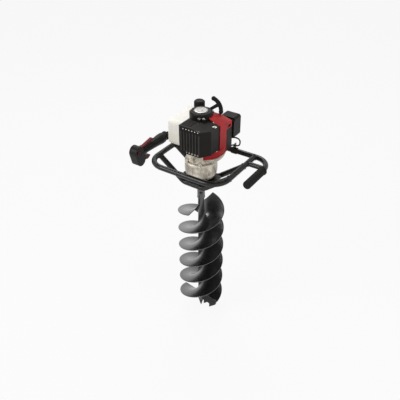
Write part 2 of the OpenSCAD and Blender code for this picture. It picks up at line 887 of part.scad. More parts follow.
// Upper case with the input bearings and the counter shaft's upper seat
module gear_cover() {
  color("#a7aaac") difference() {
    union() {
      translate([0, 0, spigot_z]) cylinder(r = cavity_r - seat_gap, h = seam_z - spigot_z + cut);
      translate([0, 0, seam_z]) cylinder(r = flange_r, h = flange_t);
      translate([0, 0, seam_z]) cylinder(r = neck_r, h = cover_h);
      at_case_bolts() translate([0, 0, seam_z]) cylinder(r = case_boss_r, h = flange_t);
      at_lugs(lug_r) translate([0, 0, cover_top - lug_t - 2])
        cylinder(r = lug_boss_r, h = lug_t + 2);
    }
    translate([0, 0, spigot_z - cut])
      cylinder(r = input_bearing_r + seat_gap, h = input_bearing_w + 2 + cut);
    translate([0, 0, spigot_z]) cylinder(r = input_shaft_d / 2 + 3, h = cover_top - spigot_z + cut);
    translate([0, 0, cover_top - input_bearing_w - 2])
      cylinder(r = input_bearing_r + seat_gap, h = input_bearing_w + 2 + cut);
    translate([0, gear_space, spigot_z - cut])
      cylinder(r = counter_shaft_d / 2 + run_gap, h = counter_hole_h + cut);
    at_case_bolts() translate([0, 0, seam_z - cut])
      cylinder(r = case_bolt_r + seat_gap, h = flange_t + 2 * cut);
    at_lugs(lug_r) translate([0, 0, cover_top - lug_t - 2 - cut])
      cylinder(r = screw_r + seat_gap, h = lug_t + 2 + 2 * cut);
  }
}

// Socket head bolts round the case seam
module case_bolts() {
  color("#9a9da0") at_case_bolts() {
    translate([0, 0, seam_z + flange_t]) difference() {
      cylinder(r = case_bolt_head_r, h = case_bolt_head_h);
      translate([0, 0, case_bolt_head_h - 2.5]) hexagon(2.3, 2.5 + cut);
    }
    translate([0, 0, seam_z - case_bolt_grip + 1])
      cylinder(r = case_bolt_r, h = case_bolt_grip + flange_t - 1);
  }
}

// Rings of the output, input and crankshaft bearings
module bearings() {
  color("#b9bcc0") {
    for (z = [case_z + seal_w, floor_z])
      translate([0, 0, z]) bearing(output_bearing_r, output_shaft_d / 2, output_bearing_w);
    for (z = [spigot_z + 2, cover_top - input_bearing_w - 2])
      translate([0, 0, z]) bearing(input_bearing_r, input_shaft_d / 2, input_bearing_w);
    for (z = [cyl_z - chamber_h / 2 - bearing_w, cyl_z + chamber_h / 2])
      translate([0, 0, z]) bearing(bearing_out_r, crank_r, bearing_w);
  }
}

// One bearing, with the groove between its rings on both faces
module bearing(r_out, r_in, w) {
  mid = (r_out + r_in) / 2;
  half = (r_out - r_in) / 5;
  difference() {
    ring(r_out, r_in + run_gap, w);
    for (z = [-cut, w - 1])
      translate([0, 0, z]) ring(mid + half, mid - half, 1 + cut);
  }
}

module output_seal() {
  color("#1a1a1b") translate([0, 0, case_z])
    ring(output_bearing_r, output_shaft_d / 2 + run_gap, seal_w);
}

// Shaft from the output gear down into the bit's socket
module output_shaft() {
  color("#9fa2a6") difference() {
    translate([0, 0, collar_top - shaft_insert])
      cylinder(d = output_shaft_d, h = output_gear_z + output_gear_w + 1 - collar_top + shaft_insert);
    at_coupling() cylinder(d = coupling_bolt_d + 2 * seat_gap, h = collar_d, center = true);
  }
}

module output_gear() {
  color("#8a8d91") translate([0, 0, output_gear_z]) difference() {
    spur_gear(output_module, output_teeth, output_gear_w, 90 + 180 / output_teeth);
    translate([0, 0, -cut])
      cylinder(r = output_shaft_d / 2 + seat_gap, h = output_gear_w + 2 * cut);
  }
}

// Counter shaft with its large gear and its pinion
module counter_gear() {
  color("#8a8d91") translate([0, gear_space, 0]) {
    translate([0, 0, floor_z - counter_hole_h + 1])
      cylinder(d = counter_shaft_d, h = spigot_z - floor_z + 2 * counter_hole_h - 2);
    translate([0, 0, output_gear_z - 1])
      spur_gear(output_module, pinion_teeth, output_gear_w + 2, -90);
    translate([0, 0, counter_gear_z])
      spur_gear(gear_module, counter_teeth, counter_gear_w, -90 + 180 / counter_teeth);
  }
}

// Input shaft with its pinion
module input_shaft() {
  color("#9fa2a6") {
    translate([0, 0, input_pinion_z]) spur_gear(gear_module, input_teeth, pinion_w, 90);
    translate([0, 0, input_pinion_z + pinion_w - 1])
      cylinder(d = input_shaft_d, h = drum_z + drum_floor + 2 - input_pinion_z - pinion_w + 1);
  }
}

// Clutch drum pressed on the input shaft
module clutch_drum() {
  color("#7c7f83") translate([0, 0, drum_z]) difference() {
    union() {
      cylinder(r = drum_r, h = drum_h);
      translate([0, 0, -3]) cylinder(r = input_bearing_r - 4, h = 4);
    }
    translate([0, 0, drum_floor]) cylinder(r = drum_r - drum_wall, h = drum_h);
    translate([0, 0, -4]) cylinder(r = input_shaft_d / 2 + seat_gap, h = 20);
  }
}

// Two centrifugal shoes on the crankshaft's hub
module clutch_shoes() {
  color("#54565a")
    for (a = [10, 190])
      rotate(a) translate([0, 0, shoe_z]) rotate_extrude(angle = 160)
        translate([shoe_root + run_gap, 0]) square([shoe_r - shoe_root - run_gap, shoe_w]);
}

// Fan cover: round bell with a flange, an air window, lugs and the cooling scoop
module fan_cover() {
  color("#b4b7b9") {
    difference() {
      union() {
        translate([0, 0, cover_top]) ring(neck_r, bell_in, bell_h);
        translate([0, 0, crank_z - bell_flange_t]) ring(bell_flange_r, bell_in, bell_flange_t);
        at_lugs(lug_r) translate([0, 0, cover_top]) difference() {
          cylinder(r = lug_boss_r, h = lug_t);
          translate([-lug_r, 0, -cut]) cylinder(r = bell_mid, h = lug_t + 2 * cut);
        }
        at_lugs(flange_bolt_r) translate([0, 0, crank_z - screw_grip]) difference() {
          cylinder(r = flange_boss_r, h = screw_grip);
          translate([-flange_bolt_r, 0, -cut]) cylinder(r = bell_mid, h = screw_grip + 2 * cut);
        }
      }
      rotate(window_from) translate([0, 0, skirt_z]) rotate_extrude(angle = window_to - window_from)
        translate([bell_in - 3, 0]) square([bell_wall + 6, crank_z - bell_flange_t - 2 - skirt_z]);
      at_lugs(lug_r) translate([0, 0, cover_top - cut])
        cylinder(r = screw_r + seat_gap, h = lug_t + 2 * cut);
      at_lugs(flange_bolt_r) translate([0, 0, crank_z - screw_grip + 1])
        cylinder(r = screw_r + seat_gap, h = screw_grip);
    }
    scoop();
  }
}

// Outline of the scoop's wall
module scoop_section() {
  translate([0, cover_top]) polygon([
    [neck_r + 0.4, -7], [neck_r + 22, -5], [scoop_r - 4, 4], [scoop_r, 13], [scoop_r, 17.5],
    [scoop_r - 4, 17.5], [scoop_r - 4, 14], [scoop_r - 7, 7.5], [neck_r + 20, 0], [neck_r + 2, 4],
    [bell_in + 2, 4], [bell_in + 2, 1], [neck_r + 0.4, 1]
  ]);
}

// Outline of the webs that close the scoop's two ends
module scoop_web() {
  translate([0, cover_top]) polygon([
    [neck_r - 1.5, 2.5], [neck_r + 2, -1], [neck_r + 21, -2.5], [scoop_r - 5.5, 5.75],
    [scoop_r - 2, 13.5], [scoop_r - 2, 16.5], [neck_r - 1.5, 16.5]
  ]);
}

module scoop() {
  rotate(scoop_from) rotate_extrude(angle = scoop_to - scoop_from) scoop_section();
  for (a = [scoop_from + 0.7, scoop_to - 3.2])
    rotate(a) rotate_extrude(angle = 2.5) scoop_web();
  rotate(scoop_from + 1.5) rotate_extrude(angle = skirt_to - scoop_from) translate([0, cover_top]) polygon([
    [scoop_r - 3, 15], [scoop_r - 1, 15], [scoop_r + 3, 20], [scoop_r + 3, 23.5], [scoop_r - 3, 23.5]
  ]);
}

// Flywheel with its fan blades
module flywheel() {
  color("#a4a7aa") translate([0, 0, flywheel_z]) difference() {
    union() {
      cylinder(r = flywheel_r, h = flywheel_t);
      cylinder(r = crank_r + 8, h = flywheel_t + blade_ring_h);
      for (i = [0:fan_blade_count - 1])
        rotate(360 * i / fan_blade_count) block([flywheel_r / 2, -1.5, flywheel_t - 1],
          [flywheel_r - 1, 1.5, flywheel_t + blade_ring_h]);
    }
    translate([0, 0, -cut])
      cylinder(r = crank_r + seat_gap, h = flywheel_t + blade_ring_h + 2 * cut);
  }
}

// Crankcase with its foot flange, cylinder pad and tank pads
module crankcase() {
  color("#a7aaac") difference() {
    union() {
      translate([0, 0, crank_z]) cylinder(r = crankcase_r, h = crankcase_h);
      translate([0, 0, crank_z]) cylinder(r = bell_flange_r, h = bell_flange_t);
      block([0, -pad_half, cyl_z - pad_half], [deck_x, pad_half, cyl_z + pad_half]);
      for (z = [cyl_z - 18, cyl_z + 6])
        block([-tank_right + seat_gap, -22, z], [0, 22, z + 12]);
    }
    translate([0, 0, cyl_z - chamber_h / 2]) cylinder(r = chamber_r, h = chamber_h);
    translate([0, 0, cyl_z - chamber_h / 2 - bearing_w])
      cylinder(r = bearing_out_r + seat_gap, h = chamber_h + 2 * bearing_w);
    translate([0, 0, crank_z - cut]) cylinder(r = crank_r + free_gap, h = crankcase_h + 2 * cut);
    translate([0, 0, cyl_z]) rotate([0, 90, 0])
      cylinder(r = bore_d / 2 + free_gap, h = deck_x + cut);
    at_lugs(flange_bolt_r) translate([0, 0, crank_z - cut])
      cylinder(r = screw_r + seat_gap, h = bell_flange_t + 2 * cut);
    at_recoil_pillars() translate([0, 0, recoil_z - 8]) cylinder(r = 2, h = 8 + cut);
  }
}

// Copies at the four pillars of the recoil starter
module at_recoil_pillars() {
  for (a = pillar_azimuths)
    rotate(a) translate([pillar_r, 0, 0]) children();
}

// Crankshaft with webs, clutch hub and starter cup
module crankshaft() {
  color("#9fa2a6") {
    translate([0, 0, shoe_z]) cylinder(r = shoe_root, h = shoe_w);
    translate([0, 0, shoe_z]) cylinder(r = crank_r, h = cyl_z - web_gap / 2 - shoe_z);
    for (z = [cyl_z - web_gap / 2 - web_t, cyl_z + web_gap / 2])
      translate([0, 0, z]) difference() {
        cylinder(r = web_r, h = web_t);
        for (side = [-1, 1])
          translate([crank_throw, side * (web_r + 4), -cut]) cylinder(r = 14, h = web_t + 2 * cut);
      }
    translate([0, 0, cyl_z + web_gap / 2])
      cylinder(r = crank_r, h = recoil_z + cup_z - cyl_z - web_gap / 2);
    translate([0, 0, recoil_z + cup_z]) difference() {
      cylinder(r = cup_r, h = cup_h);
      translate([0, 0, 3]) cylinder(r = cup_r - 3, h = cup_h);
      for (a = [0:60:300])
        rotate(a) block([cup_r - 5, -3, 6], [cup_r + 2, 3, cup_h - 4]);
    }
  }
}

// Connecting rod with the crank pin's journal
module connecting_rod() {
  color("#97999d") translate([0, 0, cyl_z - rod_t / 2]) difference() {
    union() {
      translate([crank_throw, 0, 0]) cylinder(r = 10, h = rod_t);
      translate([crank_throw, 0, -0.4]) cylinder(r = 6, h = rod_t + 0.8);
      translate([pin_x, 0, 0]) cylinder(r = 6.5, h = rod_t);
      block([crank_throw, -4, 1], [pin_x, 4, rod_t - 1]);
    }
    translate([pin_x, 0, -cut]) cylinder(r = wrist_pin_r + run_gap, h = rod_t + 2 * cut);
  }
}

// Piston with its wrist pin
module piston() {
  color("#b4b6b9") {
    difference() {
      translate([pin_x - piston_skirt, 0, cyl_z]) rotate([0, 90, 0])
        cylinder(d = bore_d, h = piston_skirt + piston_crown);
      block([pin_x - piston_skirt - cut, -12, cyl_z - rod_t / 2 - 0.6],
        [pin_x + piston_crown - 3, 12, cyl_z + rod_t / 2 + 0.6]);
    }
    translate([pin_x, 0, cyl_z]) cylinder(r = wrist_pin_r, h = bore_d - 6, center = true);
  }
}

// Finned cylinder and head with its exhaust, intake and plug bosses
module cylinder_block() {
  rotate([0, 90, 0]) translate([0, 0, deck_x])
    cylinder(r = bore_d / 2 + 6, h = head_x + head_t - deck_x);
  block([deck_x, -30, -30], [deck_x + 6, 30, 30]);
  fin_space = (head_x + head_t - deck_x - 6) / fin_count;
  for (i = [1:fin_count])
    block([deck_x + 6 + fin_space * i - fin_t, -fin_half, -fin_low],
      [deck_x + 6 + fin_space * i, fin_half, fin_half]);
  translate([port_x, -port_y, 0]) rotate([-90, 0, 0]) cylinder(r = port_boss_r, h = 2 * port_y);
  translate([plug_x, 0, -plug_seat]) cylinder(r = 8.5, h = plug_seat);
}

module cylinder_liner() {
  translate([deck_x - cut, 0, 0]) rotate([0, 90, 0])
    cylinder(r = bore_d / 2 + run_gap, h = head_x - deck_x + cut);
  translate([port_x, -port_y - cut, 0]) rotate([-90, 0, 0])
    cylinder(r = port_r, h = 2 * (port_y + cut));
  translate([plug_x, 0, -plug_seat - cut]) cylinder(r = plug_r + seat_gap, h = plug_seat + cut);
}

module engine_cylinder() {
  color("#aeb1b4") translate([0, 0, cyl_z]) difference() {
    cylinder_block();
    cylinder_liner();
  }
}

// Spark plug below the head
module spark_plug() {
  color("#e8e6e0") translate([plug_x, 0, cyl_z - plug_seat]) {
    cylinder(r = plug_r, h = plug_seat - bore_d / 2 - 1);
    translate([0, 0, -9]) hexagon(9, 9);
    translate([0, 0, -28]) cylinder(r1 = 4.5, r2 = 6, h = 20);
    translate([0, 0, -36]) cylinder(r = 3, h = 9);
  }
}

// Muffler box and its neck to the exhaust port
module muffler() {
  color("#55504b") difference() {
    union() {
      rounded_block([0, -muffler_face], [muffler_right, -muffler_rear], 8, muffler_z, muffler_z + muffler_h);
      translate([port_x, -muffler_rear - 1, cyl_z]) rotate([-90, 0, 0])
        cylinder(r = port_boss_r, h = muffler_rear + 1 - port_y);
      translate([port_x - 30, -muffler_face + 1, cyl_z]) rotate([90, 0, 0]) cylinder(r = 9, h = 4);
    }
    rounded_block([2, -muffler_face + 2], [muffler_right - 2, -muffler_rear - 2], 6, muffler_z + 2,
      muffler_z + muffler_h - 2);
    translate([port_x, -muffler_rear - 6, cyl_z]) rotate([-90, 0, 0])
      cylinder(r = port_r, h = muffler_rear);
    translate([port_x - 30, -muffler_face + 6, cyl_z]) rotate([90, 0, 0]) cylinder(r = 6, h = 20);
  }
}

// Solid across the front view's outline, between depths y0 and y1
module front_prism(y0, y1) {
  translate([0, y1, 0]) rotate([90, 0, 0]) linear_extrude(y1 - y0) children();
}

// Muffler cover as a solid, drawn in by a wall on all sides but the bottom and the rear
module cover_form(wall, low, rear) {
  right = shroud_x - skin - wall;
  front = -muffler_front + wall;
  intersection() {
    front_prism(front, rear) polygon([
      [wall - muffler_left, low], [right, low], [right, cover_flat - cover_drop - wall],
      [slope_x, cover_flat - wall], [wall - muffler_left, cover_flat - wall]
    ]);
    linear_extrude(2 * recoil_top) polygon([
      [wall - muffler_left, rear], [wall - muffler_left, front], [cover_corner.x - wall / 2, front],
      [right, front + cover_corner.y - wall / 2], [right, rear]
    ]);
  }
}

// Opening that clears the recoil starter and its pillars
module recoil_opening() {
  cylinder(r = recoil_r + 1.5, h = 2 * recoil_top);
  at_recoil_pillars() cylinder(r = pillar_boss_r + 1, h = 2 * recoil_top);
}

// Louvred black cover round the muffler
module muffler_cover() {
  color("#1e1e20") difference() {
    union() {
      difference() {
        cover_form(0, muffler_cover_z, -shroud_front - free_gap);
        cover_form(skin, muffler_cover_z - cut, 0);
      }
      intersection() {
        cover_form(1, muffler_cover_z, -shroud_front - free_gap - 1);
        translate(cover_screw - [0, 0, screw_grip]) cylinder(r = cover_screw_r + 4, h = 4 * screw_grip);
      }
      for (i = [0:louvre_count - 1])
        block([louvre_x(i) - 2, -muffler_front - 2, muffler_cover_z + 12],
          [louvre_x(i) + 2, -muffler_front + 1, cover_flat - 20]);
      for (y = [-100:9:-64])
        block([-muffler_left + 6, y, cover_flat - 1], [slope_x - 4, y + 4, cover_flat + 1.5]);
    }
    recoil_opening();
    translate(cover_screw) cylinder(r = cover_screw_r + free_gap, h = 4 * screw_grip);
    translate(cover_screw - [0, 0, screw_grip + cut])
      cylinder(r = screw_r + seat_gap, h = screw_grip + 2 * cut);
    block([-muffler_left - cut, -45, 0], [0, 0, 2 * recoil_top]);
    translate([0, 0, muffler_cover_z - cut])
      cylinder(r = bell_flange_r + 1.5, h = crank_z + bell_flange_t + 1 - muffler_cover_z);
    for (i = [0:louvre_count - 2])
      for (z = [muffler_cover_z + 3, cover_flat - 14])
        block([louvre_x(i) + 2, -muffler_front - cut, z],
          [louvre_x(i + 1) - 2, -muffler_front + skin + cut, z + 6]);
  }
}

function louvre_x(i) = louvre_from + (louvre_to - louvre_from) * i / (louvre_count - 1);

// Solid below the shroud's top, which falls away from the recoil starter, lowered by a step
module shoulder(step) {
  reach = 2 * shroud_x;
  rotate_extrude() polygon([
    [0, skirt_z], [reach, skirt_z], [reach, top_ridge - step - top_slope * (reach - recoil_r)],
    [recoil_r, top_ridge - step], [0, top_ridge - step]
  ]);
}

// Red shroud: sloping top, side band, rear wall and curved skirt
module engine_shroud() {
  color("#a51f25") difference() {
    union() {
      intersection() {
        shoulder(0);
        union() {
          difference() {
            block([slope_x, -shroud_front, flange_low], [shroud_x, shroud_rear, recoil_top]);
            shoulder(skin);
          }
          block([shroud_x - skin, -shroud_front, skirt_z + 1], [shroud_x, band_rear, recoil_top]);
          block([shroud_x - skin, band_rear - 1, flange_low], [shroud_x, shroud_rear, recoil_top]);
          block([slope_x, shroud_rear - skin, flange_low + 14], [shroud_x, shroud_rear, recoil_top]);
        }
      }
      rotate(skirt_from) translate([0, 0, skirt_z]) rotate_extrude(angle = skirt_to - skirt_from)
        translate([scoop_r - skin, 0]) square([skin, skirt_h]);
    }
    recoil_opening();
    linear_extrude(2 * recoil_top) polygon([
      [0, recoil_r], [ridge_cut / 2, recoil_r + 8], [ridge_cut, shroud_rear + cut], [0, shroud_rear + cut]
    ]);
    block([shroud_x - skin - cut, band_rear + 6, flange_low + 5],
      [shroud_x + cut, shroud_rear - 8, flange_low + 15]);
  }
}

// Black side cover below the shroud's flange
module intake_cover() {
  color("#1e1e20") difference() {
    rounded_block([intake_left, band_rear + free_gap], [intake_right, intake_rear], 6,
      intake_z, flange_low - 1);
    rounded_block([intake_left - 20, band_rear + free_gap + skin],
      [intake_right - skin, intake_rear - skin], 4, intake_z + skin, flange_low);
    block([intake_left - cut, band_rear, cyl_z - 25],
      [intake_right - skin, intake_rear + cut, flange_low + cut]);
  }
}

// Carburettor with its flange, bore, bowl and cable seat
module carburettor() {
  color("#9c9fa3") difference() {
    union() {
      block([carb_x, carb_y, cyl_z - carb_h / 2], [carb_x + carb_w, carb_y + 6, cyl_z + carb_h / 2]);
      translate([port_x, carb_y, cyl_z]) rotate([-90, 0, 0]) cylinder(r = 13, h = carb_len);
      block([carb_x, carb_y + 10, cyl_z - carb_h / 2], [carb_x + carb_w, carb_y + 34, cyl_z + carb_h / 2]);
      translate([carb_end.x, carb_end.y, cyl_z - carb_h / 2 - 5]) cylinder(r = 5.5, h = 8);
    }
    translate([port_x, carb_y - cut, cyl_z]) rotate([-90, 0, 0])
      cylinder(r = port_r, h = carb_len + 2 * cut);
    translate([carb_x - cut, carb_y + 22, cyl_z]) rotate([0, 90, 0])
      cylinder(r = bulb_r + free_gap, h = 7 + cut);
    translate([carb_end.x, carb_end.y, cyl_z - carb_h / 2 - 5 - cut])
      cylinder(r = cable_d / 2 + 0.3, h = 4 + cut);
  }
}

// Rubber bulb on the carburettor's inner side
module primer_bulb() {
  color("#c9c3b4") translate([carb_x + 2, carb_y + 22, cyl_z]) rotate([0, -90, 0]) rotate_extrude()
    polygon([[0, 0], [bulb_r, 0], [bulb_r, 5], [8, 8], [5.5, 10.5], [0, 12]]);
}

// Air cleaner base on the carburettor
module air_cleaner_base() {
  color("#232325") difference() {
    front_prism(cleaner_y, cleaner_y + base_t)
      rounded_rect([cleaner_left, cleaner_z + 5], [cleaner_right, cleaner_z + cleaner_h - 5], cleaner_round);
    translate([port_x, cleaner_y - cut, cyl_z]) rotate([-90, 0, 0])
      cylinder(r = port_r, h = base_t + 2 * cut);
    translate([cleaner_left - cut, cleaner_y + base_t / 2, choke_z]) rotate([0, 90, 0])
      cylinder(r = choke_pin_r + run_gap, h = 10 + cut);
  }
}

module air_cleaner_cover() {
  color("#1c1c1e") difference() {
    front_prism(cleaner_y + base_t, cleaner_rear)
      rounded_rect([cleaner_left, cleaner_z], [cleaner_right, cleaner_z + cleaner_h], cleaner_round);
    front_prism(cleaner_y + base_t - cut, cleaner_rear - skin)
      rounded_rect([cleaner_left + skin, cleaner_z + skin],
        [cleaner_right - skin, cleaner_z + cleaner_h - skin], cleaner_round - skin);
    at_knob() cylinder(r = knob_pin_r + run_gap, h = 20, center = true);
    for (i = [0:4])
      block([cleaner_left + 14 + 9 * i, cleaner_rear - 34, cleaner_z - cut],
        [cleaner_left + 18 + 9 * i, cleaner_rear - 12, cleaner_z + skin + cut]);
  }
}

// Local frame of the cover knob, outward along z
module at_knob() {
  translate([(cleaner_left + cleaner_right) / 2, cleaner_rear, cleaner_z + cleaner_h / 2])
    rotate([-90, 0, 0]) children();
}

module cover_knob() {
  color("#2b2b2d") at_knob() {
    translate([0, 0, -10]) cylinder(r = knob_pin_r, h = 12);
    translate([0, 0, free_gap]) cylinder(r = 11, h = 4);
    block([-10, -2.5, 2], [10, 2.5, 11]);
    translate([0, 0, -skin - free_gap - 4]) cylinder(r = 8, h = 4);
  }
}

// Choke lever on the side of the air cleaner base
module choke_lever() {
  color("#2b2b2d") translate([cleaner_left, cleaner_y + base_t / 2, choke_z]) rotate([0, 90, 0]) {
    translate([0, 0, -8]) cylinder(r = choke_pin_r, h = 17);
    translate([0, 0, -free_gap - 4]) linear_extrude(4) {
      circle(r = 6);
      translate([0, -3]) square([26, 6]);
      translate([26, 0]) circle(r = 5);
    }
  }
}

// Block with round edges and corners, from corner a to corner b
module soft_block(a, b, r) {
  hull()
    for (x = [a.x + r, b.x - r])
      for (y = [a.y + r, b.y - r])
        for (z = [a.z + r, b.z - r])
          translate([x, y, z]) sphere(r = r, $fn = 32);
}

// White blow-moulded fuel tank with a filler neck
module fuel_tank() {
  color("#e9e8e3") difference() {
    union() {
      soft_block([-tank_left, -tank_front, tank_z], [-tank_right, tank_rear, tank_z + tank_h], tank_round);
      translate([cap_x, cap_y, tank_z + tank_h - 10]) cylinder(r = neck_out_r, h = neck_h + 10);
    }
    soft_block([-tank_left + tank_skin, -tank_front + tank_skin, tank_z + tank_skin],
      [-tank_right - tank_skin, tank_rear - tank_skin, tank_z + tank_h - tank_skin], tank_round - tank_skin);
    translate([cap_x, cap_y, tank_z + tank_h - 20])
      cylinder(r = neck_out_r - 4, h = neck_h + 20 + cut);
  }
}

module cap_seal() {
  color("#1a1a1b") translate([cap_x, cap_y, tank_z + tank_h + neck_h + seat_gap])
    ring(neck_out_r - 0.5, neck_out_r - 5, seal_t);
}

// Ribbed screw cap over the neck
module fuel_cap() {
  color("#151516") translate([cap_x, cap_y, tank_z + tank_h + neck_h - cap_drop]) difference() {
    union() {
      cylinder(d = cap_d - 3, h = cap_h - 3);
      translate([0, 0, cap_h - 3]) cylinder(d1 = cap_d - 3, d2 = cap_d - 9, h = 3);
      for (i = [0:cap_ribs - 1])
        rotate(360 * i / cap_ribs) translate([cap_d / 2 - 1.6, 0, 0])
          cylinder(r = 1.6, h = cap_h - 4, $fn = 16);
    }
    translate([0, 0, -cut])
      cylinder(r = neck_out_r + 0.4, h = cap_drop + seal_t + 2 * seat_gap + cut);
  }
}

// Recoil starter housing with pillars, vents, reel post and rope eyelet
module recoil_housing() {
  color("#1c1c1e") difference() {
    union() {
      difference() {
        union() {
          translate([0, 0, recoil_z]) cylinder(r = recoil_r, h = recoil_h - 4);
          translate([0, 0, recoil_top - 4]) cylinder(r1 = recoil_r, r2 = recoil_r - 4, h = 4);
          at_recoil_pillars() translate([0, 0, recoil_z]) cylinder(r = pillar_boss_r, h = pillar_h);
          at_eyelet() translate([0, 0, -16]) cylinder(r = 9, h = 16);
        }
        translate([0, 0, recoil_z - cut]) cylinder(r = recoil_r - 4, h = recoil_h - 4 + cut);
        for (a = vent_azimuths)
          rotate(a)
            for (k = [-2:2])
              rotate(7 * k)
                block([recoil_r - 8, -1.6, recoil_z + 8], [recoil_r + 4, 1.6, recoil_z + 26]);
      }
      translate([0, 0, reel_z - reel_w / 2 - 5])
        cylinder(r = post_r, h = recoil_top - reel_z + reel_w / 2 + 4);
      translate([0, 0, reel_z - reel_w / 2 - 5]) cylinder(r = post_r + 3, h = 4.5);
    }
    translate([0, 0, recoil_top - 1]) cylinder(r = disc_r + seat_gap, h = 1 + cut);
    at_recoil_pillars() translate([0, 0, recoil_z + pillar_h - screw_grip]) {
      cylinder(r = screw_r + seat_gap, h = screw_grip + cut);
      translate([0, 0, screw_grip]) cylinder(r = screw_head_r + 0.5, h = recoil_h);
    }
    rope_bore();
  }
}

// Local frame at the rope eyelet, outward along z
module at_eyelet() {
  translate(eyelet) rotate([0, 90 - rope_rise, rope_heading]) children();
}

// Passage for the rope through the housing wall
module rope_bore() {
  at_eyelet() translate([0, 0, -2]) cylinder(r = rope_r + 1, h = 12);
  translate(eyelet) rotate([0, 90, rope_heading + 180]) cylinder(r = rope_r + 1, h = eyelet_out);
}

// Bright disc on the recoil starter
module recoil_disc() {
  color("#c8cacc") translate([0, 0, recoil_top - 1]) rotate_extrude()
    polygon([[0, 0], [disc_r, 0], [disc_r, 3], [disc_r - 1, 4], [disc_r - 5, 5], [0, 5.5]]);
}

// Rope reel on the housing's post
module recoil_reel() {
  color("#3a3a3c") translate([0, 0, reel_z - reel_w / 2]) difference() {
    rotate_extrude() polygon([
      [post_r + run_gap, 0], [reel_r + 6, 0], [reel_r + 6, 2], [reel_r - rope_r - 0.4, 2.5],
      [reel_r - rope_r - 0.4, reel_w - 2.5], [reel_r + 6, reel_w - 2], [reel_r + 6, reel_w],
      [post_r + run_gap, reel_w]
    ]);
    for (a = [0:60:300])
      rotate(a) translate([reel_r / 2 + 4, 0, -cut]) cylinder(r = 5, h = reel_w + 2 * cut);
  }
}

// Screws of the lugs, the crankcase foot and the recoil pillars
module engine_bolts() {
  color("#9a9da0") {
    at_lugs(lug_r) translate([0, 0, cover_top + lug_t]) screw();
    at_lugs(flange_bolt_r) translate([0, 0, crank_z + bell_flange_t]) screw();
    at_recoil_pillars() translate([0, 0, recoil_z + pillar_h]) screw();
    translate(cover_screw) {
      cylinder(r = cover_screw_r, h = 1.5);
      screw();
    }
  }
}

// Socket head screw with its seat at z = 0
module screw() {
  difference() {
    cylinder(r = screw_head_r, h = 4);
    translate([0, 0, 2]) hexagon(2.6, 2 + cut);
  }
  translate([0, 0, 0.5 - screw_grip]) cylinder(r = screw_r, h = screw_grip);
}

// Pull handle: stem and bowed bar
module starter_handle() {
  angle = handle_arc / handle_bow * 180 / PI;
  color("#18181a") at_eyelet() rotate(handle_roll) difference() {
    union() {
      translate([0, 0, seat_gap]) cylinder(r1 = 6, r2 = handle_stem_r, h = handle_stem);
      translate([0, 0, handle_stem - handle_bow]) rotate([90, 0, 0]) {
        rotate(90 - angle / 2) rotate_extrude(angle = angle) translate([handle_bow, 0])
          circle(r = handle_bar_r);
        for (side = [-1, 1])
          rotate(90 + side * angle / 2) translate([handle_bow, 0]) sphere(r = handle_end_r);
      }
    }
    translate([0, 0, -cut]) cylinder(r = rope_r + 0.1, h = rope_grip + cut + seat_gap);
  }
}

// Starter rope from the reel through the eyelet into the handle
module starter_rope() {
  color("#e4e2da") sweep_tube([
    eyelet - eyelet_out * rope_in, eyelet - eyelet_out / 2 * rope_in, eyelet - 3 * rope_in, eyelet,
    eyelet + 3 * rope_out, eyelet + rope_grip * rope_out
  ], rope_r, 10, [0, 0, 1]);
}

// Local frame of the coupling bolt, along its axis
module at_coupling() {
  translate([0, 0, collar_z + collar_h / 2]) rotate([90, 0, coupling_azimuth]) children();
}

// Tube of the bit with its socket collar
module bit_tube() {
  color("#1b1b1d") difference() {
    union() {
      translate([0, 0, pilot_h + pilot_neck])
        cylinder(d = bit_tube_d, h = collar_z - pilot_h - pilot_neck + cut);
      translate([0, 0, collar_z]) cylinder(d = collar_d, h = collar_h);
    }
    translate([0, 0, collar_top - shaft_insert - 2])
      cylinder(r = socket_r, h = shaft_insert + 2 + cut);
    translate([0, 0, pilot_h + pilot_neck - cut])
      cylinder(r = bit_tube_d / 2 - bit_wall, h = collar_top - shaft_insert - 8 - pilot_h - pilot_neck);
    at_coupling() {
      cylinder(d = coupling_bolt_d + 2 * seat_gap, h = 2 * collar_d, center = true);
      for (side = [0, 1])
        mirror([0, 0, side]) translate([0, 0, coupling_seat])
          cylinder(r = coupling_bolt_d + 1, h = collar_d);
    }
  }
}

// Hexagon bolt and nut through the collar and the output shaft
module coupling_bolt() {
  color("#8d9094") at_coupling() {
    cylinder(d = coupling_bolt_d, h = 2 * coupling_seat + 16, center = true);
    translate([0, 0, coupling_seat]) hexagon(coupling_bolt_d * 0.95, 6);
    translate([0, 0, -coupling_seat - 7]) hexagon(coupling_bolt_d * 0.95, 7);
  }
}

// Vertical thickness of the flight plate at radius r
function flight_rise(r) = flight_t * sqrt(1 + pow(flight_pitch / (2 * PI * r), 2));

// One helical flight that starts at a compass angle
module flight(first) {
  step = flight_sweep / flight_steps;
  inner = flight_root / cos(step / 2);
  outer = auger_d / 2;
  points = [for (i = [0:flight_steps])
    let (a = first + step * i, z = flight_lift + flight_pitch * step * i / 360)
    each [
      [inner * cos(a), inner * sin(a), z],
      [outer * cos(a), outer * sin(a), z],
      [outer * cos(a), outer * sin(a), z + flight_rise(outer)],
      [inner * cos(a), inner * sin(a), z + flight_rise(inner)]
    ]];
  walls = [for (i = [0:flight_steps - 1]) for (k = [0:3])
    let (a = 4 * i + k, b = 4 * i + (k + 1) % 4)
    each [[a, a + 4, b], [b, a + 4, b + 4]]];
  last = 4 * flight_steps;
  ends = [[0, 1, 2], [0, 2, 3], [last, last + 2, last + 1], [last, last + 3, last + 2]];
  polyhedron(points, concat(walls, ends));
}

module flight_a() {
  color("#1b1b1d") flight(flight_heading);
}

module flight_b() {
  color("#1b1b1d") flight(flight_heading + 180);
}

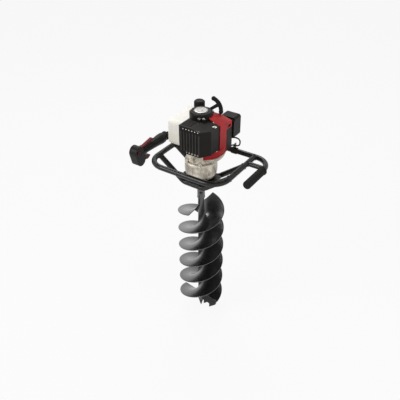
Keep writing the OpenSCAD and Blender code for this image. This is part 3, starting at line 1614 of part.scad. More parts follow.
// Toothed blades butted to the flights' cutting ends
module cutting_blades() {
  color("#26262a")
    for (a = [0, 180])
      rotate(flight_heading + a) difference() {
        translate([0, 0, flight_lift + flight_t + 1.5]) rotate([180 + blade_slope, 0, 0])
          linear_extrude(blade_t) polygon([
            [blade_in, -12], [blade_out, -12], [blade_out, 0], [blade_out - 2, blade_gullet * 0.7],
            [blade_out - 27, blade_depth], [blade_out - 33, blade_gullet],
            [blade_out - 47, blade_gullet], [blade_out - 61, blade_depth],
            [blade_out - 67, blade_gullet], [blade_in, blade_gullet]
          ]);
        block([0, -weld_gap, 0], [auger_d, 40, flight_lift + 60]);
      }
}

// Tapered pilot point with two flats
module pilot_point() {
  color("#26262a") difference() {
    union() {
      cylinder(r1 = pilot_tip_r, r2 = pilot_r, h = pilot_h);
      translate([0, 0, pilot_h]) cylinder(r = pilot_r, h = pilot_neck);
      translate([0, 0, pilot_h])
        cylinder(r = bit_tube_d / 2 - bit_wall - seat_gap, h = pilot_neck + 24);
    }
    for (side = [0, 1])
      mirror([0, side, 0])
        block([-pilot_r - cut, 4, -cut], [pilot_r + cut, pilot_r + cut, pilot_h - 6]);
  }
}

handlebar_tube();
ring_tube();
front_support_tube();
rear_support_tube();
grip_braces();
mounting_plate();
frame_bolts();
plain_grip();
throttle_housing_inner();
throttle_housing_outer();
throttle_trigger();
lockout_lever();
stop_switch();
throttle_cable();
cable_bracket();
gear_case();
gear_cover();
case_bolts();
filler_plug();
bearings();
output_seal();
output_shaft();
output_gear();
counter_gear();
input_shaft();
clutch_drum();
clutch_shoes();
fan_cover();
flywheel();
crankcase();
crankshaft();
connecting_rod();
piston();
engine_cylinder();
spark_plug();
muffler();
muffler_cover();
engine_shroud();
carburettor();
primer_bulb();
choke_lever();
intake_cover();
air_cleaner_base();
air_cleaner_cover();
cover_knob();
fuel_tank();
cap_seal();
fuel_cap();
recoil_housing();
recoil_disc();
recoil_reel();
engine_bolts();
starter_handle();
starter_rope();
bit_tube();
flight_a();
flight_b();
cutting_blades();
pilot_point();
coupling_bolt();
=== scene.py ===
"""Earth auger: finishes, welds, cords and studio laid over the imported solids, in metres."""

from __future__ import annotations

import json
import logging
import math
from dataclasses import dataclass, field
from enum import Enum

import bmesh  # noqa: E402
import bpy  # noqa: E402
import numpy as np  # noqa: E402
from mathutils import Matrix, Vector  # noqa: E402

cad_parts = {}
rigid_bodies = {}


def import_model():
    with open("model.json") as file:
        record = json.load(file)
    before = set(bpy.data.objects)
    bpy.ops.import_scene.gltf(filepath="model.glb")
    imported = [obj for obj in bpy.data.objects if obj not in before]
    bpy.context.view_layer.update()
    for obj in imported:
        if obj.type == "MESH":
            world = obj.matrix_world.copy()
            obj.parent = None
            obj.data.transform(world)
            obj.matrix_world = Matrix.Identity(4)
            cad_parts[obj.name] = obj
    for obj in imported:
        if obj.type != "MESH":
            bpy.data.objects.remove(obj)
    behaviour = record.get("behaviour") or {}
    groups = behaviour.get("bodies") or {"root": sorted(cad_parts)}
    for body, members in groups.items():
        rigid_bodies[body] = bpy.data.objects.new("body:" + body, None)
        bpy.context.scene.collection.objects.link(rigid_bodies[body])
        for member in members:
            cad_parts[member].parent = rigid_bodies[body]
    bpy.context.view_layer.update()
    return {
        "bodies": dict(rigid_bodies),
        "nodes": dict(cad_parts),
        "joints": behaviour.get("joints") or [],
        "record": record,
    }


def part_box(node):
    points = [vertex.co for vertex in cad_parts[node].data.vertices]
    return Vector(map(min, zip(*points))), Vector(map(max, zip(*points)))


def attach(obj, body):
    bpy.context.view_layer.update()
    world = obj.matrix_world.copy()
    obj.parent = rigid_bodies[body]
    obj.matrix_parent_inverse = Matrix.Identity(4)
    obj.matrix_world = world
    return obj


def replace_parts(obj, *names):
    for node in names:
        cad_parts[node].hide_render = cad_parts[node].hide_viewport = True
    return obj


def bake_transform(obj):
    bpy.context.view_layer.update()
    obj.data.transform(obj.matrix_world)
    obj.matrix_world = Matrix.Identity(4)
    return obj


LOG = logging.getLogger("earth_auger")
Array = np.ndarray
Triple = tuple[float, float, float]
Colour = Triple

UP = np.array([0.0, 0.0, 1.0])
ACROSS = np.array([1.0, 0.0, 0.0])
REARWARD = np.array([0.0, 1.0, 0.0])
SQUARE = np.array([[-1.0, -1.0], [1.0, -1.0], [1.0, 1.0], [-1.0, 1.0]])
QUARTER_TURN = np.pi / 2.0
CREASE = math.radians(40.0)
LUG_TURNS = np.radians((90.0, 150.0, 270.0))

MATH_SOCKETS = ("Value", "Value_001")
PROBE_RAYS = 4
EDGE_LEAN = (0.02, 0.22)
HOLLOW_SHADE = (0.15, 0.75)
SKYWARD_LEAN = (0.2, 1.0)
SCATTER_REACH = (0.004, 0.004, 0.003)
WHITE = (1.0, 1.0, 1.0, 1.0)


class Slot(Enum):
    """Material slots of the record that this scene dresses."""

    FRAME = "frame_black"
    BIT = "bit_black"
    BLADE = "blade_steel"
    ZINC = "zinc_steel"
    GROUND = "ground_steel"
    CASTING = "cast_aluminium"
    DISC = "bright_disc"
    RED_COVER = "red_cover"
    BLACK_COVER = "black_cover"
    GRIP = "grip_rubber"
    CONTROL = "control_black"
    RED_CONTROL = "control_red"
    SHEATH = "cable_sheath"
    TANK = "tank_white"
    SEAL = "seal_rubber"
    BULB = "bulb_rubber"
    MUFFLER = "muffler_steel"
    CERAMIC = "plug_ceramic"
    ROPE = "rope_nylon"


# Shader maths


class Value:
    """A shader socket that takes part in arithmetic."""

    def __init__(self, graph: Graph, socket: bpy.types.NodeSocket) -> None:
        """Keeps the socket and the graph that new nodes go to."""
        self.graph = graph
        self.socket = socket

    def __add__(self, other: Value | float) -> Value:
        """Sum of two values."""
        return self.graph.math("ADD", self, other)

    __radd__ = __add__

    def __sub__(self, other: Value | float) -> Value:
        """This value less the other."""
        return self.graph.math("SUBTRACT", self, other)

    def __rsub__(self, other: Value | float) -> Value:
        """The other value less this one."""
        return self.graph.math("SUBTRACT", other, self)

    def __mul__(self, other: Value | float) -> Value:
        """Product of two values."""
        return self.graph.math("MULTIPLY", self, other)

    __rmul__ = __mul__

    def __pow__(self, other: Value | float) -> Value:
        """This value raised to the other."""
        return self.graph.math("POWER", self, other)

    def wave(self) -> Value:
        """Sine of the value, moved to run from 0 to 1."""
        return self.graph.math("SINE", self) * 0.5 + 0.5

    def ramp(self, low: float, high: float) -> Value:
        """Smooth step of the value from 0 at low to 1 at high.

        Args:
            low: Value at which the step starts.
            high: Value at which it ends.

        Returns:
            The step.
        """
        return self.graph.node(
            "ShaderNodeMapRange",
            {"interpolation_type": "SMOOTHSTEP"},
            {"Value": self, "From Min": low, "From Max": high},
        )


class Graph:
    """The node tree of one material or world."""

    def __init__(self, owner: bpy.types.Material | bpy.types.World) -> None:
        """Turns the owner's nodes on and clears them, so that a finish can fill the tree.

        Args:
            owner: The material or world.
        """
        owner.use_nodes = True
        self.tree = owner.node_tree
        self.tree.nodes.clear()

    def node(
        self, kind: str, settings: dict | None = None, inputs: dict | None = None, out: str | int = 0
    ) -> Value:
        """Adds one node.

        Args:
            kind: Type name of the node.
            settings: Properties of the node, which are set first.
            inputs: Values or links of its sockets, by identifier or name.
            out: Name or number of the output to return.

        Returns:
            The output socket as a value.
        """
        made = self.tree.nodes.new(kind)
        for key, value in (settings or {}).items():
            setattr(made, key, value)
        by_identifier = {socket.identifier: socket for socket in made.inputs}
        for key, value in (inputs or {}).items():
            socket = by_identifier[key] if key in by_identifier else made.inputs[key]
            if isinstance(value, Value):
                self.tree.links.new(value.socket, socket)
            else:
                socket.default_value = value
        outputs = {socket.identifier: socket for socket in made.outputs}
        socket = outputs[out] if out in outputs else made.outputs[out] if outputs else None
        return Value(self, socket)

    def math(self, operation: str, *operands: Value | float) -> Value:
        """Adds a Math node for the operands."""
        return self.node("ShaderNodeMath", {"operation": operation}, dict(zip(MATH_SOCKETS, operands)))

    def place(self) -> Value:
        """Object coordinates, in metres."""
        return self.node("ShaderNodeTexCoord", out="Object")

    def run(self) -> Value:
        """The piece's own map: round the section, and metres along it."""
        return self.node("ShaderNodeTexCoord", out="UV")

    def axis(self, vector: Value, name: str) -> Value:
        """One component of a vector."""
        return self.node("ShaderNodeSeparateXYZ", None, {"Vector": vector}, name)

    def noise(self, scale: float, detail: float, rough: float, vector: Value | None = None) -> Value:
        """Fractal noise from 0 to 1; scale counts lumps to the metre.

        Args:
            scale: Lumps to the metre.
            detail: Octaves of finer lumps.
            rough: Strength of each octave beside the one before.
            vector: Where it is read; object coordinates if left out.

        Returns:
            The noise.
        """
        return self.node(
            "ShaderNodeTexNoise",
            {"noise_dimensions": "3D"},
            {"Vector": vector or self.place(), "Scale": scale, "Detail": detail, "Roughness": rough},
        )

    def streaks(self, lumps: Triple, detail: float, rough: float) -> Value:
        """Fractal noise with its own count of lumps to the metre along each axis."""
        stretched = self.node("ShaderNodeMapping", None, {"Vector": self.place(), "Scale": lumps})
        return self.noise(1.0, detail, rough, stretched)

    def cells(self, scale: float, feature: str = "F1") -> Value:
        """Distance from the middle of random cells; scale counts cells to the metre.

        Args:
            scale: Cells to the metre.
            feature: Which distance is measured.

        Returns:
            The distance.
        """
        return self.node(
            "ShaderNodeTexVoronoi", {"feature": feature}, {"Vector": self.place(), "Scale": scale}
        )

    def edges(self, radius: float) -> Value:
        """1 on sharp edges and 0 on open faces: the rounded normal's lean from the true one.

        Args:
            radius: Width of the edge, in metres.

        Returns:
            The mask.
        """
        rounded = self.node("ShaderNodeBevel", {"samples": PROBE_RAYS}, {"Radius": radius})
        true = self.node("ShaderNodeNewGeometry", out="Normal")
        lean = self.node(
            "ShaderNodeVectorMath", {"operation": "DOT_PRODUCT"}, {0: rounded, 1: true}, "Value"
        )
        return (1.0 - lean).ramp(*EDGE_LEAN)

    def hollows(self, reach: float) -> Value:
        """1 deep in corners and 0 in the open.

        Args:
            reach: How far off a wall still counts, in metres.

        Returns:
            The mask.
        """
        open_sky = self.node(
            "ShaderNodeAmbientOcclusion",
            {"samples": PROBE_RAYS, "only_local": True},
            {"Distance": reach},
            "AO",
        )
        return (1.0 - open_sky).ramp(*HOLLOW_SHADE)

    def skyward(self) -> Value:
        """1 where the surface faces up."""
        normal = self.node("ShaderNodeNewGeometry", out="Normal")
        return self.axis(normal, "Z").ramp(*SKYWARD_LEAN)

    def mix(self, share: Value | float, a: Value | Colour, b: Value | Colour) -> Value:
        """Colour a where share is 0 and b where it is 1.

        Args:
            share: Share of b.
            a: First colour.
            b: Second colour.

        Returns:
            The mixed colour.
        """
        return self.node(
            "ShaderNodeMix",
            {"data_type": "RGBA", "clamp_factor": True},
            {"Factor_Float": share, "A_Color": opaque(a), "B_Color": opaque(b)},
            "Result_Color",
        )

    def bump(self, height: Value, depth: float, strength: float) -> Value:
        """Normal of a relief whose height runs from 0 to 1 over the depth, in metres.

        Args:
            height: The relief.
            depth: Its depth, in metres.
            strength: Share of it that shows.

        Returns:
            The normal.
        """
        return self.node(
            "ShaderNodeBump", None, {"Height": height, "Strength": strength, "Distance": depth}, "Normal"
        )


def opaque(colour: Value | Colour) -> Value | tuple[float, float, float, float]:
    """A colour with full alpha, or the linked colour as it is."""
    return colour if isinstance(colour, Value) else (*colour, 1.0)


def tone(code: str) -> Colour:
    """Linear colour of a display colour that is written as six hex digits.

    Args:
        code: The digits, two for each channel.

    Returns:
        The colour.
    """
    parts = np.array([int(code[i : i + 2], 16) for i in (0, 2, 4)]) / 255.0
    linear = np.where(parts <= 0.04045, parts / 12.92, ((parts + 0.055) / 1.055) ** 2.4)
    return tuple(float(v) for v in linear)


def dim(colour: Colour, share: float) -> Colour:
    """The colour at a share of its brightness."""
    return tuple(channel * share for channel in colour)


# Finishes: a scale counts lumps to the metre, a depth is in metres


@dataclass(frozen=True)
class Finish:
    """A surface finish; each kind adds its own grain and wear, and some add painted shade and painted
    highlights.
    """

    name: str
    colour: Colour
    rough: float
    metal: float = 0.0
    specular: float = 0.5
    coat: float = 0.0
    coat_rough: float = 0.12
    scatter: float = 0.0

    def look(self, graph: Graph) -> dict[str, Value]:
        """The sockets that change over the surface, which each kind of finish gives."""
        raise NotImplementedError

    def shaded(self, graph: Graph, share: Value, low: float, high: float = 1.0) -> Value:
        """This finish's colour, at brightness low where share is 0 and high where it is 1."""
        return graph.mix(share, dim(self.colour, low), dim(self.colour, high))

    def material(self) -> bpy.types.Material:
        """Builds the material.

        Returns:
            A material whose shader has this finish's constants and its look.
        """
        made = bpy.data.materials.new(self.name)
        graph = Graph(made)
        inputs: dict = {
            "Base Color": opaque(self.colour),
            "Roughness": self.rough,
            "Metallic": self.metal,
            "Specular IOR Level": self.specular,
            "Coat Weight": self.coat,
            "Coat Roughness": self.coat_rough,
            "Subsurface Weight": self.scatter,
            "Subsurface Radius": SCATTER_REACH,
            "Subsurface Scale": 1.0,
        }
        inputs.update(self.look(graph))
        shader = graph.node("ShaderNodeBsdfPrincipled", None, inputs)
        graph.node("ShaderNodeOutputMaterial", None, {"Surface": shader})
        made.diffuse_color = opaque(self.colour)
        return made


@dataclass(frozen=True)
class Paint(Finish):
    """Stoved paint on steel: orange peel, rubbed edges, scuffs and a little dust."""

    bare: Colour = (0.2, 0.2, 0.2)
    dust: Colour = (0.2, 0.18, 0.16)
    cloud_scale: float = 14.0
    rub_scale: float = 60.0
    dust_scale: float = 55.0
    peel: float = 420.0
    peel_depth: float = 0.00012
    scuff_scale: Triple = (90.0, 90.0, 700.0)
    edge_width: float = 0.0012
    rub: float = 0.5
    scuffing: float = 0.1
    dusting: float = 0.12
    clouding: float = 0.14

    def look(self, graph: Graph) -> dict[str, Value]:
        """Paint clouded by handling, bare on its edges, with dust on top.

        Args:
            graph: The material's nodes.

        Returns:
            The shader's sockets that change over the surface, by name.
        """
        cloud = graph.noise(self.cloud_scale, 5.0, 0.6)
        scuff = graph.streaks(self.scuff_scale, 6.0, 0.7).ramp(0.6, 0.78) * self.scuffing
        patches = graph.noise(self.rub_scale, 5.0, 0.7).ramp(0.4, 0.62)
        edge = graph.edges(self.edge_width) * patches * self.rub
        drifts = graph.noise(self.dust_scale, 6.0, 0.65).ramp(0.45, 0.85)
        settled = graph.skyward() * drifts * self.dusting
        painted = self.shaded(graph, cloud.ramp(0.3, 0.75), 0.8, 1.35)
        rubbed = graph.mix(edge, graph.mix(scuff, painted, self.bare), self.bare)
        skin = graph.noise(self.peel, 2.0, 0.4)
        return {
            "Base Color": graph.mix(settled, rubbed, self.dust),
            "Roughness": cloud * self.clouding + scuff + settled * 1.5 + (self.rough - 0.07),
            "Metallic": edge * 0.6,
            "Normal": graph.bump(skin, self.peel_depth, 0.35),
        }


@dataclass(frozen=True)
class Casting(Finish):
    """Bare blasted casting: sandy grain, pores, painted shade in the corners and a painted highlight on
    the edges.
    """

    # Colour of the painted shade in the corners; the pores are darkened towards it too.
    painted_shade_colour: Colour = (0.09, 0.08, 0.07)
    # Pale tone of the painted highlight on the edges.
    bright: Colour = (0.9, 0.87, 0.8)
    mottle_scale: float = 26.0
    sand_scale: float = 1500.0
    pore_scale: float = 420.0
    depth: float = 0.0005
    edge_width: float = 0.0016
    corner_reach: float = 0.012

    def look(self, graph: Graph) -> dict[str, Value]:
        """Mottled metal with a fine sand texture, painted shade in the corners and a painted highlight
        on the edges.

        Args:
            graph: The material's nodes.

        Returns:
            The shader's sockets that change over the surface, by name.
        """
        mottle = graph.noise(self.mottle_scale, 5.0, 0.62)
        sand = graph.noise(self.sand_scale, 3.0, 0.6)
        pores = 1.0 - graph.cells(self.pore_scale).ramp(0.08, 0.26)
        corner = graph.hollows(self.corner_reach)
        edge = graph.edges(self.edge_width)
        metal = self.shaded(graph, mottle.ramp(0.34, 0.68), 0.6, 1.18)
        pitted = graph.mix(pores * 0.3, metal, self.painted_shade_colour)
        # Corners that the occlusion probe finds are darkened towards near black: painted shade.
        shaded_in_corners = graph.mix(corner * (mottle * 0.6 + 0.55), pitted, self.painted_shade_colour)
        return {
            # Edges are lightened towards the pale tone: a painted highlight.
            "Base Color": graph.mix(edge * 0.5, shaded_in_corners, self.bright),
            "Roughness": sand * 0.18 + corner * 0.25 - edge * 0.15 + (self.rough - 0.06),
            "Metallic": self.metal - corner * 0.5,
            "Normal": graph.bump(sand * 0.7 + pores * -0.4 + mottle * 0.6, self.depth, 0.5),
        }


@dataclass(frozen=True)
class Plating(Finish):
    """Zinc plate or ground steel: a faint yellow cast, tool marks, smudges and painted shade in the
    corners.
    """

    cast: Colour = (0.72, 0.66, 0.42)
    grain: Triple = (900.0, 900.0, 60.0)
    smudge_scale: float = 70.0
    depth: float = 0.00006
    corner_reach: float = 0.006

    def look(self, graph: Graph) -> dict[str, Value]:
        """Bright metal with drawn tool marks, a thin colour cast and painted shade in its corners.

        Args:
            graph: The material's nodes.

        Returns:
            The shader's sockets that change over the surface, by name.
        """
        marks = graph.streaks(self.grain, 4.0, 0.6)
        smudge = graph.noise(self.smudge_scale, 4.0, 0.6)
        corner = graph.hollows(self.corner_reach)
        plate = graph.mix(smudge.ramp(0.45, 0.8) * 0.5, self.colour, self.cast)
        return {
            # Corners that the occlusion probe finds are dimmed towards a fifth of the plate's colour:
            # painted shade.
            "Base Color": graph.mix(corner * 0.7, plate, dim(self.colour, 0.18)),
            "Roughness": marks * 0.2 + smudge * 0.12 + (self.rough - 0.14),
            "Normal": graph.bump(marks, self.depth, 0.5),
        }


@dataclass(frozen=True)
class Spun(Finish):
    """Pressed bright disc on the main axis, with rings from the lathe."""

    ring_scale: float = 2600.0
    smudge_scale: float = 60.0
    depth: float = 0.00012

    def look(self, graph: Graph) -> dict[str, Value]:
        """Rings by distance from the main axis.

        Args:
            graph: The material's nodes.

        Returns:
            The shader's sockets that change over the surface, by name.
        """
        place = graph.place()
        x, y = graph.axis(place, "X"), graph.axis(place, "Y")
        radius = (x * x + y * y) ** 0.5
        across = graph.node("ShaderNodeCombineXYZ", None, {"X": radius * self.ring_scale})
        rings = graph.noise(1.0, 4.0, 0.7, across)
        smudge = graph.noise(self.smudge_scale, 5.0, 0.65)
        return {
            "Base Color": self.shaded(graph, smudge.ramp(0.35, 0.7), 0.62),
            "Roughness": rings * 0.22 + smudge * 0.1 + (self.rough - 0.12),
            "Normal": graph.bump(rings, self.depth, 0.6),
        }


@dataclass(frozen=True)
class Moulding(Finish):
    """Moulded nylon or painted plastic: spark grain, polished edges, dust in corners."""

    dust: Colour = (0.1, 0.09, 0.08)
    cloud_scale: float = 22.0
    scratch_scale: Triple = (60.0, 500.0, 140.0)
    grain: float = 1900.0
    depth: float = 0.00009
    shine: float = 1.9
    edge_width: float = 0.0011
    corner_reach: float = 0.01

    def look(self, graph: Graph) -> dict[str, Value]:
        """Moulded skin whose edges are rubbed smooth.

        Args:
            graph: The material's nodes.

        Returns:
            The shader's sockets that change over the surface, by name.
        """
        cloud = graph.noise(self.cloud_scale, 5.0, 0.6)
        spark = graph.cells(self.grain, "SMOOTH_F1")
        scratch = graph.streaks(self.scratch_scale, 5.0, 0.75).ramp(0.62, 0.8)
        edge = graph.edges(self.edge_width)
        corner = graph.hollows(self.corner_reach)
        skin = self.shaded(graph, cloud.ramp(0.28, 0.74), 0.8, 1.2)
        worn = graph.mix(edge * 0.5 + scratch * 0.1, skin, dim(self.colour, self.shine))
        wear = corner * 0.15 - edge * 0.1 + scratch * 0.08
        return {
            "Base Color": graph.mix(corner * 0.35 * cloud, worn, self.dust),
            "Roughness": cloud * 0.12 + wear + (self.rough - 0.06),
            "Normal": graph.bump(spark + cloud * 0.3, self.depth, 0.5),
        }


@dataclass(frozen=True)
class Rubber(Finish):
    """Grip rubber: fine stipple, bloom on the faces, dull dust in the grooves."""

    dust: Colour = (0.09, 0.08, 0.07)
    stipple_scale: float = 1300.0
    bloom_scale: float = 45.0
    depth: float = 0.00012
    corner_reach: float = 0.004

    def look(self, graph: Graph) -> dict[str, Value]:
        """Dull black with a grey bloom.

        Args:
            graph: The material's nodes.

        Returns:
            The shader's sockets that change over the surface, by name.
        """
        stipple = graph.cells(self.stipple_scale)
        bloom = graph.noise(self.bloom_scale, 5.0, 0.65)
        corner = graph.hollows(self.corner_reach)
        skin = self.shaded(graph, bloom.ramp(0.4, 0.8) * 0.7, 1.0, 2.2)
        return {
            "Base Color": graph.mix(corner * 0.3, skin, self.dust),
            "Roughness": bloom * 0.15 + (self.rough - 0.07),
            "Normal": graph.bump(stipple, self.depth, 0.45),
        }


@dataclass(frozen=True)
class Polythene(Finish):
    """Blow-moulded tank: milky skin, flow lines, a warmer band where fuel stands."""

    level: float = 0.92
    meniscus: float = 0.004
    fuel: Colour = (0.7, 0.58, 0.38)
    # Colour of the painted shade in the corners.
    painted_shade_colour: Colour = (0.3, 0.26, 0.2)
    flow_scale: Triple = (60.0, 60.0, 12.0)
    skin_scale: float = 700.0
    depth: float = 0.0003
    corner_reach: float = 0.02

    def look(self, graph: Graph) -> dict[str, Value]:
        """Milky white that warms below the fuel level, with painted shade in its corners.

        Args:
            graph: The material's nodes.

        Returns:
            The shader's sockets that change over the surface, by name.
        """
        flow = graph.streaks(self.flow_scale, 4.0, 0.6)
        skin = graph.noise(self.skin_scale, 2.0, 0.5)
        height = graph.axis(graph.place(), "Z") + flow * self.meniscus
        wet = 1.0 - height.ramp(self.level - self.meniscus, self.level + self.meniscus)
        corner = graph.hollows(self.corner_reach)
        milk = self.shaded(graph, flow.ramp(0.3, 0.75), 0.9)
        warm = graph.mix(wet * 0.16, milk, self.fuel)
        return {
            # Corners that the occlusion probe finds are darkened towards brown: painted shade.
            "Base Color": graph.mix(corner * 0.4, warm, self.painted_shade_colour),
            "Roughness": flow * 0.16 + (self.rough - 0.08),
            "Normal": graph.bump(skin * 0.5 + flow, self.depth, 0.3),
        }


@dataclass(frozen=True)
class Heated(Finish):
    """Muffler steel: straw and blue heat tints, with painted shade in the corners."""

    straw: Colour = (0.42, 0.28, 0.12)
    blue: Colour = (0.1, 0.12, 0.24)
    # Colour of the painted shade in the corners.
    black: Colour = (0.02, 0.018, 0.016)
    heat_scale: float = 18.0
    grit_scale: float = 900.0
    depth: float = 0.0002
    corner_reach: float = 0.015

    def look(self, graph: Graph) -> dict[str, Value]:
        """Tints that follow a slow noise, with painted shade in the corners.

        Args:
            graph: The material's nodes.

        Returns:
            The shader's sockets that change over the surface, by name.
        """
        heat = graph.noise(self.heat_scale, 4.0, 0.6)
        grit = graph.noise(self.grit_scale, 3.0, 0.6)
        tinted = graph.mix(heat.ramp(0.38, 0.55), self.colour, self.straw)
        hot = graph.mix(heat.ramp(0.55, 0.75), tinted, self.blue)
        corner_shade_mask = graph.hollows(self.corner_reach)
        return {
            # Corners that the occlusion probe finds are darkened to near black: painted shade.
            "Base Color": graph.mix(corner_shade_mask * 0.8, hot, self.black),
            "Roughness": grit * 0.2 + corner_shade_mask * 0.3 + (self.rough - 0.1),
            "Normal": graph.bump(grit, self.depth, 0.4),
        }


@dataclass(frozen=True)
class Braid(Finish):
    """Braided cord: two sets of strands that cross, on the piece's own map."""

    strands: float = 6.0
    lay: float = 0.011
    soil_scale: float = 160.0
    depth: float = 0.0004

    def look(self, graph: Graph) -> dict[str, Value]:
        """Strand relief from sines that run round the cord in both hands, with painted shade between the
        strands.

        Args:
            graph: The material's nodes.

        Returns:
            The shader's sockets that change over the surface, by name.
        """
        run = graph.run()
        turn = graph.axis(run, "X") * (2.0 * math.pi * self.strands)
        along = graph.axis(run, "Y") * (2.0 * math.pi * self.strands / self.lay)
        weave = graph.math("MAXIMUM", (turn + along).wave(), (turn - along).wave())
        soil = graph.noise(self.soil_scale, 4.0, 0.6)
        # The colour is dimmed to half between the strands: painted shade in the grooves.
        groove_shaded = self.shaded(graph, weave, 0.5)
        return {
            "Base Color": graph.mix(soil.ramp(0.5, 0.8) * 0.5, groove_shaded, dim(self.colour, 0.45)),
            "Roughness": weave * -0.1 + self.rough,
            "Normal": graph.bump(weave, self.depth, 0.7),
        }


FINISHES: dict[Slot, Finish] = {
    Slot.FRAME: Paint("frame_paint", tone("131211"), 0.28, specular=0.4, peel=800.0),
    Slot.BIT: Paint(
        "bit_paint",
        tone("0f0e0d"),
        0.27,
        specular=1.0,
        coat=0.7,
        coat_rough=0.3,
        peel=300.0,
        scuffing=0.03,
        dusting=0.05,
        clouding=0.06,
    ),
    Slot.BLADE: Paint(
        "blade_paint", tone("232322"), 0.42, specular=0.35, bare=(0.5, 0.49, 0.47), rub=1.0
    ),
    Slot.ZINC: Plating("zinc_plate", (0.78, 0.77, 0.71), 0.34, 1.0),
    Slot.GROUND: Plating("ground_steel", (0.6, 0.6, 0.61), 0.26, 1.0, cast=(0.5, 0.47, 0.42)),
    Slot.CASTING: Casting("blasted_casting", (0.68, 0.62, 0.52), 0.38, 0.55),
    Slot.DISC: Spun("spun_disc", (0.56, 0.55, 0.53), 0.34, 0.9),
    Slot.RED_COVER: Moulding(
        "red_moulding", tone("a3282a"), 0.46, specular=0.14, grain=900.0, depth=0.00004, shine=1.35
    ),
    Slot.BLACK_COVER: Moulding("black_moulding", tone("1a1816"), 0.44, specular=0.14),
    Slot.GRIP: Rubber("grip_rubber", tone("161514"), 0.68, specular=0.2),
    Slot.CONTROL: Moulding("control_moulding", tone("181716"), 0.46, specular=0.2, grain=1500.0),
    Slot.RED_CONTROL: Moulding(
        "red_control", tone("6c1a20"), 0.44, specular=0.16, grain=1200.0, shine=1.3
    ),
    Slot.SHEATH: Moulding("cable_sheath", tone("131312"), 0.42, specular=0.25, grain=700.0),
    Slot.TANK: Polythene("tank_polythene", tone("fcf9f0"), 0.4, specular=0.3, scatter=0.2),
    Slot.SEAL: Rubber("seal_rubber", tone("1a1a1b"), 0.6),
    Slot.BULB: Rubber("bulb_rubber", tone("3a3634"), 0.42),
    Slot.MUFFLER: Heated("muffler_steel", (0.46, 0.44, 0.42), 0.42, 0.9),
    Slot.CERAMIC: Polythene("plug_ceramic", tone("f2efe8"), 0.2, level=-1.0),
    Slot.ROPE: Braid("rope_braid", tone("dcd8cc"), 0.7),
}


NODE_FINISHES: dict[str, Finish] = {
    "throttle_trigger": Moulding(
        "trigger_moulding", tone("4a2a24"), 0.44, specular=0.2, grain=1500.0
    ),
    "filler_plug": Casting("plug_casting", (0.5, 0.45, 0.37), 0.46, 0.4),
    "coupling_bolt": Plating("blacked_steel", (0.1, 0.1, 0.1), 0.42, 0.8, cast=(0.16, 0.14, 0.11)),
}


class Wardrobe:
    """Makes each finish's material once and hands it out."""

    def __init__(self) -> None:
        """Starts with nothing made."""
        self.made: dict[Slot, bpy.types.Material] = {}

    def of(self, slot: Slot) -> bpy.types.Material:
        """The material of a slot.

        Args:
            slot: The slot.

        Returns:
            Its material, made at the first call.
        """
        if slot not in self.made:
            self.made[slot] = FINISHES[slot].material()
        return self.made[slot]

    def dressed(self, piece: Piece, slot: Slot) -> bpy.types.Object:
        """The object of a piece in its slot's material."""
        return piece.make(self.of(slot))

    def dress(self, frame: dict) -> None:
        """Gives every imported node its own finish, or else its slot's.

        Args:
            frame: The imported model.
        """
        subparts = frame["record"]["subparts"]
        for row in subparts:
            own = NODE_FINISHES.get(row["node"])
            materials = frame["nodes"][row["node"]].data.materials
            materials.clear()
            materials.append(own.material() if own else self.of(Slot(row["material_slot"])))
        LOG.info("dressed %d packed nodes", len(subparts))


# Meshes


